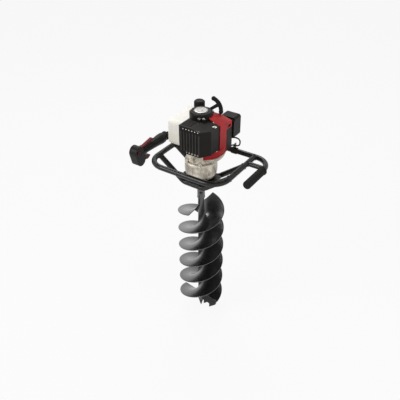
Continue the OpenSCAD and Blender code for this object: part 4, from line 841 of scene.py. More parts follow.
class Piece:
    """Gathers grids of points and turns them into one mesh."""

    def __init__(self, name: str) -> None:
        """Starts an empty piece.

        Args:
            name: Name of its object and mesh.
        """
        self.name = name
        self.points: list[Array] = []
        self.faces: list[list[int]] = []
        self.maps: list[Array] = []
        self.count = 0

    def _take(self, points: Array) -> int:
        """Adds points and returns the number of the first.

        Args:
            points: Points in any arrangement of threes.

        Returns:
            The number of the first.
        """
        first = self.count
        self.points.append(points.reshape(-1, 3))
        self.count += len(self.points[-1])
        return first

    def grid(self, points: Array, round_rows: bool = False, length: float = 1.0) -> Piece:
        """Adds a sheet of quads whose last column joins the first.

        Args:
            points: Rows by columns by three; rows run along a path and columns round its section.
            round_rows: Whether the last row joins the first.
            length: Metres that the map covers along the rows.

        Returns:
            The piece itself.
        """
        lines, columns = points.shape[:2]
        first = self._take(points)
        spans = lines if round_rows else lines - 1
        i, j = np.meshgrid(np.arange(spans), np.arange(columns), indexing="ij")
        here, ahead = i * columns, (i + 1) % lines * columns
        j_next = (j + 1) % columns
        quads = rows(here + j, here + j_next, ahead + j_next, ahead + j)
        self.faces.extend((quads.reshape(-1, 4) + first).tolist())
        u = rows(j, j + 1, j + 1, j) / columns
        v = rows(i, i, i + 1, i + 1) / lines * length
        self.maps.append(rows(u, v).reshape(-1, 2))
        return self

    def cap(self, loop: Array, ahead: bool) -> Piece:
        """Closes a ring of points with a fan.

        Args:
            loop: Points of the ring, in the order of a grid's columns.
            ahead: True for the end of a path and False for its start.

        Returns:
            The piece itself.
        """
        first = self._take(np.vstack([loop, loop.mean(0)]))
        ring = np.arange(len(loop))
        following = np.roll(ring, -1)
        pair = (ring, following) if ahead else (following, ring)
        self.faces.extend((rows(*pair, len(loop)) + first).tolist())
        self.maps.append(np.zeros((3 * len(loop), 2)))
        return self

    def tube(self, points: Array, length: float = 1.0) -> Piece:
        """Adds a swept grid that is closed at both ends."""
        self.grid(points, length=length)
        return self.cap(points[0], False).cap(points[-1], True)

    def make(self, material: bpy.types.Material) -> bpy.types.Object:
        """Turns what was gathered into an object at the origin.

        Args:
            material: The piece's material.

        Returns:
            The new object, which rides on nothing yet.
        """
        mesh = bpy.data.meshes.new(self.name)
        mesh.from_pydata(np.vstack(self.points).tolist(), [], self.faces)
        layer = mesh.uv_layers.new(name="run")
        layer.data.foreach_set("uv", np.vstack(self.maps).astype(np.float32).ravel())
        mesh.polygons.foreach_set("use_smooth", np.ones(len(mesh.polygons), bool))
        merge_doubles(mesh)
        mesh.set_sharp_from_angle(angle=CREASE)
        mesh.materials.append(material)
        made = new_object(self.name, mesh)
        LOG.info("%s: %d faces", self.name, len(mesh.polygons))
        return made


def new_object(name: str, data: bpy.types.ID) -> bpy.types.Object:
    """Makes an object of the data and links it to the scene.

    Args:
        name: The object's name.
        data: Its mesh, light or camera.

    Returns:
        The object.
    """
    made = bpy.data.objects.new(name, data)
    bpy.context.scene.collection.objects.link(made)
    return made


def merge_doubles(mesh: bpy.types.Mesh) -> None:
    """Joins the points that caps and grids share, so that the mesh is closed.

    Args:
        mesh: The mesh, which is changed in place.
    """
    work = bmesh.new()
    work.from_mesh(mesh)
    bmesh.ops.remove_doubles(work, verts=work.verts, dist=1e-7)
    work.to_mesh(mesh)
    work.free()
    mesh.update()


def rows(*columns: Array | float) -> Array:
    """The columns, spread to one shape and set side by side in a last axis."""
    return np.stack(np.broadcast_arrays(*columns), -1)


def quarter(steps: int) -> Array:
    """Angles from 0 to a quarter turn."""
    return np.linspace(0.0, QUARTER_TURN, steps)


def half(steps: int) -> Array:
    """Angles from a quarter turn below level to a quarter turn above it."""
    return np.linspace(-QUARTER_TURN, QUARTER_TURN, steps)


def full(sides: int) -> Array:
    """Angles of a full turn, without the last, which is the first again."""
    return np.linspace(0.0, 2.0 * np.pi, sides, endpoint=False)


def unit(vectors: Array) -> Array:
    """The vectors at length one."""
    return vectors / np.linalg.norm(vectors, axis=-1, keepdims=True)


def circle(radius: float, sides: int) -> Array:
    """A ring of points in a plane, counter-clockwise."""
    turn = full(sides)
    return radius * rows(np.cos(turn), np.sin(turn))


def polar(radius: float, turn: float, z: float) -> Array:
    """A point by its distance from the main axis, compass angle and height."""
    return np.array([radius * math.cos(turn), radius * math.sin(turn), z])


def distance(path: Array) -> Array:
    """Metres from the start of a path to each of its points."""
    return np.concatenate([[0.0], np.cumsum(np.linalg.norm(np.diff(path, axis=0), axis=1))])


def chords(path: Array) -> Array:
    """On a closed path, the step from each point's neighbour behind to the one ahead."""
    return np.roll(path, -1, 0) - np.roll(path, 1, 0)


def through(points: Array, steps: int) -> Array:
    """A smooth curve: each span is a cubic set by its two ends and their neighbours.

    Args:
        points: Points that the curve passes.
        steps: Samples on each span.

    Returns:
        The samples, one row each.
    """
    whole = np.vstack([2 * points[0] - points[1], points, 2 * points[-1] - points[-2]])
    t = np.linspace(0.0, 1.0, steps, endpoint=False)[None, :, None]
    a, b, c, d = (whole[i : len(whole) - 3 + i, None, :] for i in range(4))
    square, cube = 2 * a - 5 * b + 4 * c - d, 3 * b - a - 3 * c + d
    spans = 0.5 * (2 * b + (c - a) * t + square * t**2 + cube * t**3)
    return np.vstack([spans.reshape(-1, 3), points[-1]])


def sweep(path: Array, section: Array, reference: Array, ring: bool = False) -> Array:
    """Carries a section along a path, square to it.

    Args:
        path: Points of the path.
        section: Points of the section in the plane across the path, or a set for each path point.
        reference: A direction, or one for each path point, that is never along the path.
        ring: Whether the path closes on itself.

    Returns:
        Path by section by three points.
    """
    tangent = unit(chords(path) if ring else np.gradient(path, axis=0))
    side = unit(np.cross(reference, tangent))
    rise = np.cross(tangent, side)
    section = np.broadcast_to(section, (len(path), *section.shape[-2:]))
    return path[:, None, :] + section[..., :1] * side[:, None, :] + section[..., 1:] * rise[:, None, :]


def lathe(profile: Array, foot: Array, sides: int, axis: Array = UP, across: Array = ACROSS) -> Array:
    """Turns a profile of radius and height about an axis.

    Args:
        profile: Rows of radius and height, from the foot upwards on the outside.
        foot: Point of the axis at height zero.
        sides: Points round the turn.
        axis: Direction of the axis.
        across: Direction at which the turn starts.

    Returns:
        Profile by side by three points.
    """
    turn = full(sides)
    spoke = np.cos(turn)[:, None] * across + np.sin(turn)[:, None] * np.cross(axis, across)
    return foot + profile[:, None, :1] * spoke[None] + profile[:, None, 1:] * axis


def stud(foot: Array, height: float, radius: float, tail: float = 0.0012, axis: Array = UP) -> Array:
    """A round boss whose foot tapers and whose top edge is eased.

    Args:
        foot: Point of the axis where the boss starts.
        height: Length of the boss.
        radius: Its radius above the tail.
        tail: Height over which the radius grows from a quarter.
        axis: Direction of the boss.

    Returns:
        Profile by side by three points.
    """
    ease, edge = quarter(5), 0.0012
    top = rows(radius - edge * (1.0 - np.cos(ease)), height - edge * (1.0 - np.sin(ease)))
    base = [[0.0, 0.0], [radius / 4.0, 0.0], [radius, tail]]
    across = ACROSS if abs(axis[2]) > 0.5 else UP
    return lathe(np.vstack([base, top, [[0.0, height]]]), foot, 40, axis, across)


def bead(path: Array, radius: float, reference: Array, ring: bool, pitch: float = 0.0028) -> Array:
    """A weld bead: a small round section whose radius ripples along the path.

    Args:
        path: Points of the seam.
        radius: Mean radius of the bead.
        reference: Direction or directions that are never along the path.
        ring: Whether the seam closes on itself.
        pitch: Metres from one ripple to the next.

    Returns:
        Path by section by three points.
    """
    turns = distance(path) / pitch
    ripple = 1.0 + 0.16 * np.cos(2.0 * np.pi * turns) + 0.07 * np.sin(1.7 * turns + 0.6)
    return sweep(path, circle(radius, 10)[None] * ripple[:, None, None], reference, ring)


# Bit


@dataclass
class Bit:
    """Two helical flights on a tube, with their welds."""

    pitch: float = 0.188
    sweep_turn: float = math.radians(1000.0)
    heading: float = math.radians(-8.0)
    foot: float = 0.08
    plate: float = 0.004
    outer: float = 0.1
    inner: float = 0.01356
    nose: float = 0.0016
    tube: float = 0.0135
    collar_foot: float = 0.643222
    bead_r: float = 0.0021
    bead_off: float = 0.0008
    shoulder_bead_r: float = 0.0024
    shoulder_off: float = 0.0012
    steps: int = 420
    spans: int = 18

    def rise(self, radius: Array) -> Array:
        """Upright thickness of the plate, which leans more near the tube."""
        return self.plate * np.sqrt(1.0 + (self.pitch / (2.0 * np.pi * radius)) ** 2)

    def helix(self, first: float) -> tuple[Array, Array]:
        """Angles of a flight from its cutting end, and its height at each."""
        turn = np.linspace(0.0, self.sweep_turn, self.steps)
        return first + turn, self.foot + self.pitch * turn / (2.0 * np.pi)

    def flight(self, first: float) -> Array:
        """A flight as a closed section carried up a helix.

        Args:
            first: Compass angle of the cutting end.

        Returns:
            Steps by section by three points; the section runs in along the top and out along the
            bottom.
        """
        reach = self.outer - self.nose
        radii = self.inner + (reach - self.inner) * np.linspace(0.0, 1.0, self.spans)
        bulge = half(9)[1:-1]
        radius = np.concatenate([radii, reach + self.nose * np.cos(bulge), radii[::-1]])
        ends = np.zeros(self.spans), np.ones(self.spans)
        share = np.concatenate([ends[0], 0.5 + 0.5 * np.sin(bulge), ends[1]])
        angle, height = (column[:, None] for column in self.helix(first))
        z = height + share * self.rise(radius)
        return rows(np.cos(angle) * radius, np.sin(angle) * radius, z)[:, ::-1]

    def seam(self, first: float, top: bool) -> Array:
        """The line where a flight's top or bottom meets the tube.

        Args:
            first: Compass angle of the cutting end.
            top: Whether it is the top's.

        Returns:
            Points of the seam, from the cutting end up.
        """
        angle, height = self.helix(first)
        radius = self.tube + self.bead_off
        lift = self.rise(np.array(self.inner)) + self.bead_off if top else -self.bead_off
        return rows(radius * np.cos(angle), radius * np.sin(angle), height + lift)

    def build(self, wardrobe: Wardrobe) -> None:
        """Makes the flights and the welds that hold them.

        Args:
            wardrobe: Where the finish comes from.
        """
        welds = Piece("bit_welds")
        for name, first in (("flight_a", self.heading), ("flight_b", self.heading + math.pi)):
            plate = Piece(f"{name}_plate").tube(self.flight(first))
            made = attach(wardrobe.dressed(plate, Slot.BIT), "auger")
            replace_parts(made, name)
            for top in (True, False):
                welds.tube(bead(self.seam(first, top), self.bead_r, UP, False))
        ring = circle(self.tube + self.shoulder_off, 96)
        shoulder = rows(*ring.T, self.collar_foot - self.bead_off)
        welds.grid(bead(shoulder, self.shoulder_bead_r, UP, True), round_rows=True)
        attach(wardrobe.dressed(welds, Slot.BIT), "auger")


# Frame


@dataclass
class FrameWelds:
    """Beads where the frame's tubes meet."""

    tube: float = 0.011
    brace: float = 0.01
    bead_r: float = 0.0021
    bead_off: float = 0.0008
    seam_off: float = 0.0006
    level: float = 0.819222
    ring_x: float = 0.168
    handle_x: float = 0.245
    rear: float = 0.142
    brace_right: float = 0.079
    brace_left: float = 0.105
    bend: float = 0.07
    support_y: float = 0.055
    support_in: float = 0.8
    support_down: float = 0.6
    sides: int = 72

    def saddle(self, centre: Array, branch: Array, main: Array, radius: float) -> Array:
        """The ring where a branch tube lands on a main tube.

        At turn t the branch's wall is radius * (cos t along the main, sin t across it), and it
        meets the main's wall at sqrt(tube^2 - (radius * sin t)^2) from the main's axis.

        Args:
            centre: Point of the main tube's axis under the branch.
            branch: Direction in which the branch leaves.
            main: Direction of the main tube.
            radius: Radius of the branch tube.

        Returns:
            Points of the closed seam.
        """
        turn = full(self.sides)
        out = radius + self.seam_off
        inset = np.minimum(out, self.tube) * np.sin(turn)
        reach = np.sqrt(np.maximum(self.tube**2 - inset**2, 0.0))
        return (
            centre
            + (reach + self.bead_off)[:, None] * branch
            + (out * np.cos(turn))[:, None] * main
            + (out * np.sin(turn))[:, None] * np.cross(branch, main)
        )

    def joints(self) -> list[tuple[Array, Array, Array, float]]:
        """Where each branch meets its main tube: centre, branch, main and branch radius.

        Returns:
            One row for each joint.
        """
        found = []
        for side in (-1.0, 1.0):
            ring = np.array([side * self.ring_x, 0.0, self.level])
            support = np.array([-side * self.support_in, 0.0, -self.support_down])
            found.append((ring + [0.0, self.rear, 0.0], -REARWARD, ACROSS, self.tube))
            for y in (-self.support_y, self.support_y):
                found.append((ring + [0.0, y, 0.0], support, REARWARD, self.tube))
        for x, y, branch in (
            (self.ring_x, self.brace_right, ACROSS),
            (self.handle_x, self.brace_right, -ACROSS),
            (-self.ring_x, self.brace_left, -ACROSS),
        ):
            found.append((np.array([x, y, self.level]), branch, REARWARD, self.brace))
        return found

    def bend_seam(self) -> Array:
        """The ring where the left brace lands inside the handle's bend.

        The bend is part of a torus, so the brace's wall at (y, z) meets it where the distance from
        the bend's centre is bend - sqrt(tube^2 - z^2).

        Returns:
            Points of the closed seam.
        """
        turn = full(self.sides)
        out = self.brace + self.seam_off
        rise = out * np.sin(turn)
        y = self.brace_left + out * np.cos(turn)
        reach = self.bend - np.sqrt(self.tube**2 - rise**2) - self.bead_off
        x = self.bend - self.handle_x - np.sqrt(reach**2 - (y - self.rear + self.bend) ** 2)
        return rows(x, y, self.level + rise)

    def build(self, wardrobe: Wardrobe) -> None:
        """Makes every bead of the frame as one piece.

        Args:
            wardrobe: Where the finish comes from.
        """
        welds = Piece("frame_welds")
        welds.grid(bead(self.bend_seam(), self.bead_r, ACROSS, True), round_rows=True)
        for centre, branch, main, radius in self.joints():
            seam = self.saddle(centre, branch, main, radius)
            welds.grid(bead(seam, self.bead_r, branch, True), round_rows=True)
        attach(wardrobe.dressed(welds, Slot.FRAME), "frame")


@dataclass
class PlainGrip:
    """Rubber sleeve on the right arm: collar, ribbed hold and closed nose."""

    x: float = 0.245
    level: float = 0.819222
    back: float = 0.064
    length: float = 0.13
    radius: float = 0.0165
    collar: float = 0.019
    collar_w: float = 0.005
    ease: float = 0.001
    taper: float = 0.0012
    bore: float = 0.01102
    plug: float = 0.004
    ribs: int = 17
    hold_from: float = 0.009
    hold_short: float = 0.012
    groove: float = 0.0011
    fade: float = 0.004
    nose_r: float = 0.005
    nose_l: float = 0.006

    def profile(self) -> Array:
        """Radius and distance from the collar, from the bore round the outside to the nose.

        The ribs are a cosine along the hold, clipped to flat crests and flat grooves.

        Returns:
            Rows of radius and distance.
        """
        hold = np.linspace(self.hold_from, self.length - self.hold_short, 240)
        phase = (hold - hold[0]) / (hold[-1] - hold[0]) * self.ribs
        groove = np.clip(1.6 * np.cos(2.0 * np.pi * phase) - 0.7, 0.0, 0.9) / 0.9
        ends = np.clip(np.minimum(hold - hold[0], hold[-1] - hold) / self.fade, 0.0, 1.0)
        nose = quarter(9)
        tip_r = self.radius - self.nose_r + self.nose_r * np.cos(nose)
        tip_l = self.length - self.nose_l + self.nose_l * np.sin(nose)
        inside = self.length - self.plug
        flange = [
            [0.0, inside],
            [self.bore, inside],
            [self.bore, 0.0],
            [self.collar - self.ease, 0.0],
            [self.collar, self.ease],
            [self.collar, self.collar_w - self.ease],
            [self.collar - self.ease, self.collar_w],
            [self.radius, self.collar_w + self.taper],
        ]
        ribbed = rows(self.radius - self.groove * groove * ends, hold)
        return np.vstack([flange, ribbed, rows(tip_r, tip_l), [[0.0, self.length]]])

    def build(self, wardrobe: Wardrobe) -> None:
        """Makes the sleeve in place of its plain solid.

        Args:
            wardrobe: Where the finish comes from.
        """
        foot = np.array([self.x, self.back, self.level])
        sleeve = Piece("plain_grip_sleeve").grid(lathe(self.profile(), foot, 72, -REARWARD))
        made = wardrobe.dressed(sleeve, Slot.GRIP)
        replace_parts(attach(made, "frame"), "plain_grip")


# Castings


@dataclass
class GearboxSkin:
    """Cast gearbox: a bowl on four feet with a round shoulder, and the grooved cover above it."""

    plate_z: float = 0.746222
    seam_z: float = 0.829222
    top_z: float = 0.850222
    wall: float = 0.064
    foot: float = 0.046
    flange: float = 0.066
    neck: float = 0.058
    boss: float = 0.0075
    boss_h: float = 0.0256
    boss_off: float = 0.0004
    boss_tail: float = 0.014
    pad_h: float = 0.0066
    lug_h: float = 0.008
    bolt_ring: float = 0.0625
    lug_ring: float = 0.0635
    leg_x: float = 0.038
    leg_y: float = 0.034
    leg_r: float = 0.0088
    leg_h: float = 0.03
    rib_half: float = 0.0025
    rib_turns: tuple[float, ...] = (30.0, 90.0, 150.0, 210.0, 270.0)
    filler_turn: float = math.radians(-30.0)
    filler_z: float = 0.791222
    filler_from: float = 0.052
    filler_h: float = 0.015
    filler_r: float = 0.01
    sides: int = 144

    def bowl(self) -> Array:
        """Profile of the case: a quarter ellipse from the foot to the wall, then half of the flange.

        Returns:
            Rows of radius and height.
        """
        depth = self.seam_z - self.plate_z
        swell, ease = quarter(15), quarter(8)
        base = [[0.0, 0.0], [self.foot - 0.001, 0.0], [self.foot, 0.001]]
        belly_r = self.foot + (self.wall - self.foot) * np.sin(swell)
        belly = rows(belly_r, 0.03 - 0.026 * np.cos(swell))
        band = [
            [self.wall, depth - 0.014],
            [self.wall + 0.0008, depth - 0.012],
            [self.flange, depth - 0.0105],
        ]
        shoulder_r = self.flange - 0.004 * (1.0 - np.cos(ease))
        shoulder = rows(shoulder_r, depth - 0.0046 + 0.004 * np.sin(ease))
        rim = [
            [self.neck + 0.001, depth - 0.0006],
            [self.neck - 0.004, depth - 0.0003],
            [0.0, depth - 0.0003],
        ]
        return np.vstack([base, belly, band, shoulder, rim])

    def cover(self) -> Array:
        """Profile of the cover: a groove on the seam, a round bead, then the tapering neck.

        Returns:
            Rows of radius and height.
        """
        bulge = half(9)
        bead_edge = rows(self.neck + 0.002 * np.cos(bulge), 0.0056 + 0.0022 * np.sin(bulge))
        groove = [[0.0, 0.0], [self.neck - 0.004, 0.0], [self.neck - 0.004, 0.0028]]
        top = self.top_z - self.seam_z
        return np.vstack([groove, bead_edge, [[self.neck - 0.0004, top], [0.0, top]]])

    def rib(self, turn: float) -> Array:
        """A rounded rib up the outside of the bowl: a squared circle carried up the wall.

        Args:
            turn: Compass angle of the rib.

        Returns:
            Path by section by three points.
        """
        stations = (
            (0.052, self.plate_z + 0.008),
            (0.0628, self.plate_z + 0.028),
            (0.0634, self.seam_z - 0.006),
        )
        path = np.stack([polar(radius, turn, z) for radius, z in stations])
        ring = circle(1.0, 16)
        section = self.rib_half * np.sign(ring) * np.sqrt(np.abs(ring))
        return sweep(through(path, 8), section, polar(1.0, turn, 0.0))

    def build(self, wardrobe: Wardrobe) -> None:
        """Makes the case and the cover in place of their plain solids.

        Args:
            wardrobe: Where the finish comes from.
        """
        case, cover = Piece("gear_case_bowl"), Piece("gear_cover_flange")
        case.grid(lathe(self.bowl(), self.plate_z * UP, self.sides))
        cover.grid(lathe(self.cover(), self.seam_z * UP, self.sides))
        for turn in np.radians(np.arange(0.0, 360.0, 60.0)):
            below = polar(self.bolt_ring, turn, self.seam_z - self.boss_h - self.boss_off)
            above = polar(self.bolt_ring, turn, self.seam_z + self.boss_off)
            case.grid(stud(below, self.boss_h, self.boss, self.boss_tail))
            cover.grid(stud(above, self.pad_h, self.boss))
        for x in (-self.leg_x, self.leg_x):
            for y in (-self.leg_y, self.leg_y):
                case.grid(stud(np.array([x, y, self.plate_z]), self.leg_h, self.leg_r))
        for turn in np.radians(self.rib_turns):
            case.tube(self.rib(turn))
        out = polar(1.0, self.filler_turn, 0.0)
        inlet = self.filler_from * out + self.filler_z * UP
        case.grid(stud(inlet, self.filler_h, self.filler_r, axis=out))
        for turn in LUG_TURNS:
            lug = polar(self.lug_ring, turn, self.top_z - self.lug_h)
            cover.grid(stud(lug, self.lug_h, self.boss))
        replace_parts(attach(wardrobe.dressed(case, Slot.CASTING), "frame"), "gear_case")
        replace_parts(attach(wardrobe.dressed(cover, Slot.CASTING), "frame"), "gear_cover")


@dataclass
class FanBell:
    """Cast fan cover: a tapered bell with a bolted flange, lugs, and the cylinder's air scoop."""

    foot_z: float = 0.850222
    top_z: float = 0.912222
    neck: float = 0.0576
    waist: float = 0.0552
    flange: float = 0.064
    flange_t: float = 0.006
    ease: float = 0.0008
    lug_ring: float = 0.0635
    lug_r: float = 0.0075
    lug_h: float = 0.006
    bolt_ring: float = 0.0585
    bolt_r: float = 0.005
    bolt_h: float = 0.014
    bolt_tail: float = 0.008
    bolt_taper: float = 0.01
    starts: float = math.radians(-44.0)
    full_from: float = math.radians(-31.0)
    lip_to: float = math.radians(20.5)
    ends: float = math.radians(60.0)
    overlap: float = 0.03
    gap: float = 0.01
    level: float = 0.004
    least: float = 0.6
    sides: int = 144

    def bell(self) -> Array:
        """Profile of the bell: a waist between the foot's bead and the flange.

        Returns:
            Rows of radius and height.
        """
        height = self.top_z - self.foot_z
        bulge, climb = half(7), np.linspace(0.0, np.pi, 12)
        foot = rows(self.neck + 0.0006 * np.cos(bulge), 0.002 + 0.002 * np.sin(bulge))
        middle, swing = (self.neck + self.waist) / 2.0, (self.neck - self.waist) / 2.0
        wall = rows(middle + swing * np.cos(climb), 0.005 + 0.025 * climb / np.pi)
        low = height - self.flange_t
        rim = [
            [self.waist, low - 0.005],
            [self.waist + 0.0015, low - 0.0015],
            [self.waist + 0.005, low],
            [self.flange - self.ease, low],
            [self.flange, low + self.ease],
            [self.flange, height - self.ease],
            [self.flange - self.ease, height],
            [0.0, height],
        ]
        return np.vstack([[[0.0, 0.0]], foot, wall, rim])

    def channel(self, lip: bool) -> Array:
        """The scoop's wall in section: out along the bottom, up to the lip, back along the inside.

        Args:
            lip: Whether the wall ends in the raised lip.

        Returns:
            Rows of radius and height.
        """
        edge = [(98, 13), (101, 20), (101, 22.8), (100.2, 23.5), (95.8, 23.5), (95, 22.8), (95, 16)]
        low_edge = [(98, 13), (98, 16.8), (97.3, 17.5), (94.6, 17.5), (94, 16.8), (94, 14)]
        bottom, inside = [(54, -7), (80, -5), (94, 4)], [(91, 7.5), (78, 0), (54, 3)]
        return 0.001 * np.array([*bottom, *(edge if lip else low_edge), *inside])

    def scoop(self, section: Array, turn: Array, size: Array) -> Array:
        """Carries the scoop's section round the main axis; size shrinks its reach from the bell.

        Args:
            section: Rows of radius and height above the bell's foot.
            turn: Compass angles of the steps.
            size: Share of the full reach at each step.

        Returns:
            Steps by section by three points.
        """
        inner = section[:, 0].min()
        turn, size = turn[:, None], size[:, None]
        radius = inner + (section[:, 0] - inner) * size
        climb = (section[:, 1] - self.level) * (self.least + (1.0 - self.least) * size)
        z = self.foot_z + self.level + climb
        return rows(radius * np.cos(turn), radius * np.sin(turn), z)

    def cheek(self) -> Array:
        """The scoop's closed end, whose reach follows a quarter ellipse down to the bell.

        Returns:
            Steps by section by three points.
        """
        corners = np.vstack([self.channel(True)[:9], [[0.054, 0.0235]]])
        past = np.sin(quarter(16))
        first = self.full_from + self.overlap
        size = np.maximum(np.sqrt(1.0 - past**2), 0.03)
        return self.scoop(corners, first + (self.starts - first) * past, size)

    def build(self, wardrobe: Wardrobe) -> None:
        """Makes the bell in place of its plain solid.

        Args:
            wardrobe: Where the finish comes from.
        """
        piece = Piece("fan_bell").grid(lathe(self.bell(), self.foot_z * UP, self.sides))
        length = self.bolt_h + self.bolt_tail
        for turn in LUG_TURNS:
            piece.grid(stud(polar(self.lug_ring, turn, self.foot_z), self.lug_h, self.lug_r))
            boss = polar(self.bolt_ring, turn, self.top_z - length)
            piece.grid(stud(boss, length, self.bolt_r, self.bolt_taper))
        lipped = np.linspace(self.lip_to, self.full_from, 60)
        bare = np.linspace(self.ends, self.lip_to - self.gap, 44)
        piece.tube(self.scoop(self.channel(True), lipped, np.ones(60)))
        piece.tube(self.scoop(self.channel(False), bare, np.ones(44)))
        piece.tube(self.cheek())
        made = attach(wardrobe.dressed(piece, Slot.CASTING), "frame")
        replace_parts(made, "fan_cover")


# Muffler cover


@dataclass
class LouvreBars:
    """Round-nosed bars over the muffler cover's louvres, a lighter copy of the cover's black that paints
    a highlight on them.
    """

    first_x: float = -0.014
    pitch: float = 0.013
    count: int = 7
    y: float = -0.1132
    low: float = 0.915222
    high: float = 0.996222
    radius: float = 0.0024
    # The cover's black nylon in a lighter tone: a painted highlight on the bars.
    finish: Finish = Moulding("louvre_highlit_moulding", tone("2e2a26"), 0.4, specular=0.32)

    def build(self) -> None:
        """Makes the bars as one piece, in a lighter copy of the cover's black moulding as a painted
        highlight; each is a turned rod with ball ends.
        """
        ball = quarter(7)
        foot = self.radius * rows(np.sin(ball), 1.0 - np.cos(ball))
        head = np.array([0.0, self.high - self.low]) + foot[::-1] * [1.0, -1.0]
        bars = Piece("louvre_bars")
        for x in self.first_x + self.pitch * np.arange(self.count):
            bars.grid(lathe(np.vstack([foot, head]), np.array([x, self.y, self.low]), 20))
        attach(bars.make(self.finish.material()), "frame")


@dataclass
class HeatShield:
    """Strip with bright pressed studs that show through the muffler cover's upper slots."""

    y: float = -0.1086
    z: float = 1.005222
    first_x: float = -0.0075
    pitch: float = 0.013
    count: int = 6
    height: float = 0.012
    thick: float = 0.0006
    stud_r: float = 0.0029
    stud_h: float = 0.0032

    def build(self, wardrobe: Wardrobe) -> None:
        """Makes the strip, a flat section carried across the cover, and a dome for each slot.

        Args:
            wardrobe: Where the finish comes from.
        """
        path = rows(self.first_x + self.pitch * np.arange(-0.5, self.count, 0.5), self.y, self.z)
        section = SQUARE * (np.array([self.thick, self.height]) / 2.0)
        strip = Piece("heat_shield").tube(sweep(path, section, UP))
        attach(wardrobe.dressed(strip, Slot.MUFFLER), "frame")
        rise = quarter(8)
        dome = np.vstack([[[0.0, 0.0]], rows(self.stud_r * np.cos(rise), self.stud_h * np.sin(rise))])
        studs = Piece("shield_studs")
        for x in self.first_x + self.pitch * np.arange(self.count):
            studs.grid(lathe(dome, np.array([x, self.y, self.z]), 24, -REARWARD))
        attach(wardrobe.dressed(studs, Slot.ZINC), "frame")


# Cords


@dataclass
class ThrottleCable:
    """Sheathed cable from the throttle grip along the rear bar to the carburettor, with its ties."""

    diameter: float = 0.006
    gap: float = 0.0004
    bar_y: float = 0.142
    bar_z: float = 0.819222
    bar_r: float = 0.011
    handle_x: float = 0.245
    bend: float = 0.07
    lean_from: float = -0.13
    lean_over: float = 0.12
    tie_x: tuple[float, ...] = (-0.135, -0.045, 0.03)
    tie_half: tuple[float, float] = (0.0022, 0.0005)
    tie_off: float = 0.0007
    loop: Array = field(
        default_factory=lambda: 0.001
        * np.array(
            [
                (52, 142, 836.6), (64, 142, 841.6), (73, 142, 842.6), (82, 142, 844.1), (93, 139, 850),
                (101, 133, 863), (104, 127, 880), (99, 121, 891), (88, 114, 896), (72, 104, 896),
                (59, 94, 897), (52, 84, 902), (50, 77, 913), (50, 74, 924), (50, 74, 928),
            ]
        )  # fmt: skip
    )

    def route(self) -> Array:
        """The cable's path: round the bend, along the bar, then up in a loop.

        Returns:
            Points of the path, from the grip to the carburettor.
        """
        z = self.bar_z + self.bar_r + self.diameter / 2 + self.gap
        turn = np.radians(np.arange(10.0, 91.0, 10.0))
        x = self.bend - self.handle_x - self.bend * np.cos(turn)
        bend = rows(x, self.bar_y - self.bend + self.bend * np.sin(turn), z)
        straight = rows(np.arange(-0.15, 0.031, 0.03), self.bar_y, z)
        return through(np.vstack([bend, straight, self.loop]), 8)

    def tie(self, point: Array, along: Array) -> Array:
        """A band round the bar and the cable: the outline that wraps two circles.

        Args:
            point: Where the tie sits on the bar's axis.
            along: The bar's direction there.

        Returns:
            The band as a closed ring of closed sections.
        """
        cable_r = self.diameter / 2
        apart = self.bar_r + cable_r + self.gap
        lean = math.acos((self.bar_r - cable_r) / apart)
        low = np.linspace(lean, 2.0 * np.pi - lean, 40)
        high = np.linspace(-lean, lean, 16)
        bar = (self.bar_r + self.tie_off) * rows(np.sin(low), np.cos(low))
        cable = (cable_r + self.tie_off) * rows(np.sin(high), np.cos(high)) + [0.0, apart]
        ring = np.vstack([bar, cable])
        path = point + ring[:, :1] * np.cross(UP, along) + ring[:, 1:] * UP
        band = SQUARE[::-1] * self.tie_half
        return sweep(path, band, np.cross(chords(path), along), True)

    def build(self, wardrobe: Wardrobe) -> None:
        """Makes the cable in place of its plain solid, and its ties.

        Args:
            wardrobe: Where the finish comes from.
        """
        path = self.route()
        turned = np.clip((path[:, :1] - self.lean_from) / self.lean_over, 0.0, 1.0)
        reference = (1.0 - turned) * UP + turned * REARWARD
        tube = sweep(path, circle(self.diameter / 2, 20), reference)
        sheath = Piece("throttle_cable_sheath").tube(tube, distance(path)[-1])
        made = wardrobe.dressed(sheath, Slot.SHEATH)
        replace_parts(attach(made, "frame"), "throttle_cable")
        ties = Piece("cable_ties")
        for x in self.tie_x:
            ties.grid(self.tie(np.array([x, self.bar_y, self.bar_z]), ACROSS), round_rows=True)
        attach(wardrobe.dressed(ties, Slot.SHEATH), "frame")


@dataclass
class StarterRope:
    """Braided rope from the reel through the eyelet into the handle's stem."""

    eyelet: Array = field(default_factory=lambda: np.array([0.0096516, 0.0490595, 1.0252222]))
    inward: Array = field(default_factory=lambda: np.array([0.743145, 0.669131, 0.0]))
    outward: Array = field(default_factory=lambda: np.array([0.656158, 0.590807, 0.469472]))
    radius: float = 0.00175
    inside: tuple[float, ...] = (-0.04, -0.02, -0.006)
    outside: tuple[float, ...] = (0.0, 0.005, 0.01)
    held_to: float = -0.004
    drawn_from: float = 0.0095

    def build(self, wardrobe: Wardrobe) -> None:
        """Makes the rope, which runs between the housing and the handle.

        Args:
            wardrobe: Where the finish comes from.
        """
        inside = self.eyelet + np.array(self.inside)[:, None] * self.inward
        outside = self.eyelet + np.array(self.outside)[:, None] * self.outward
        path = through(np.vstack([inside, outside]), 14)
        sheet = sweep(path, circle(self.radius, 16), UP)
        rope = Piece("starter_rope_braid").tube(sheet, distance(path)[-1])
        made = wardrobe.dressed(rope, Slot.ROPE)
        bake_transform(made)
        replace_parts(made, "starter_rope")


# Tank


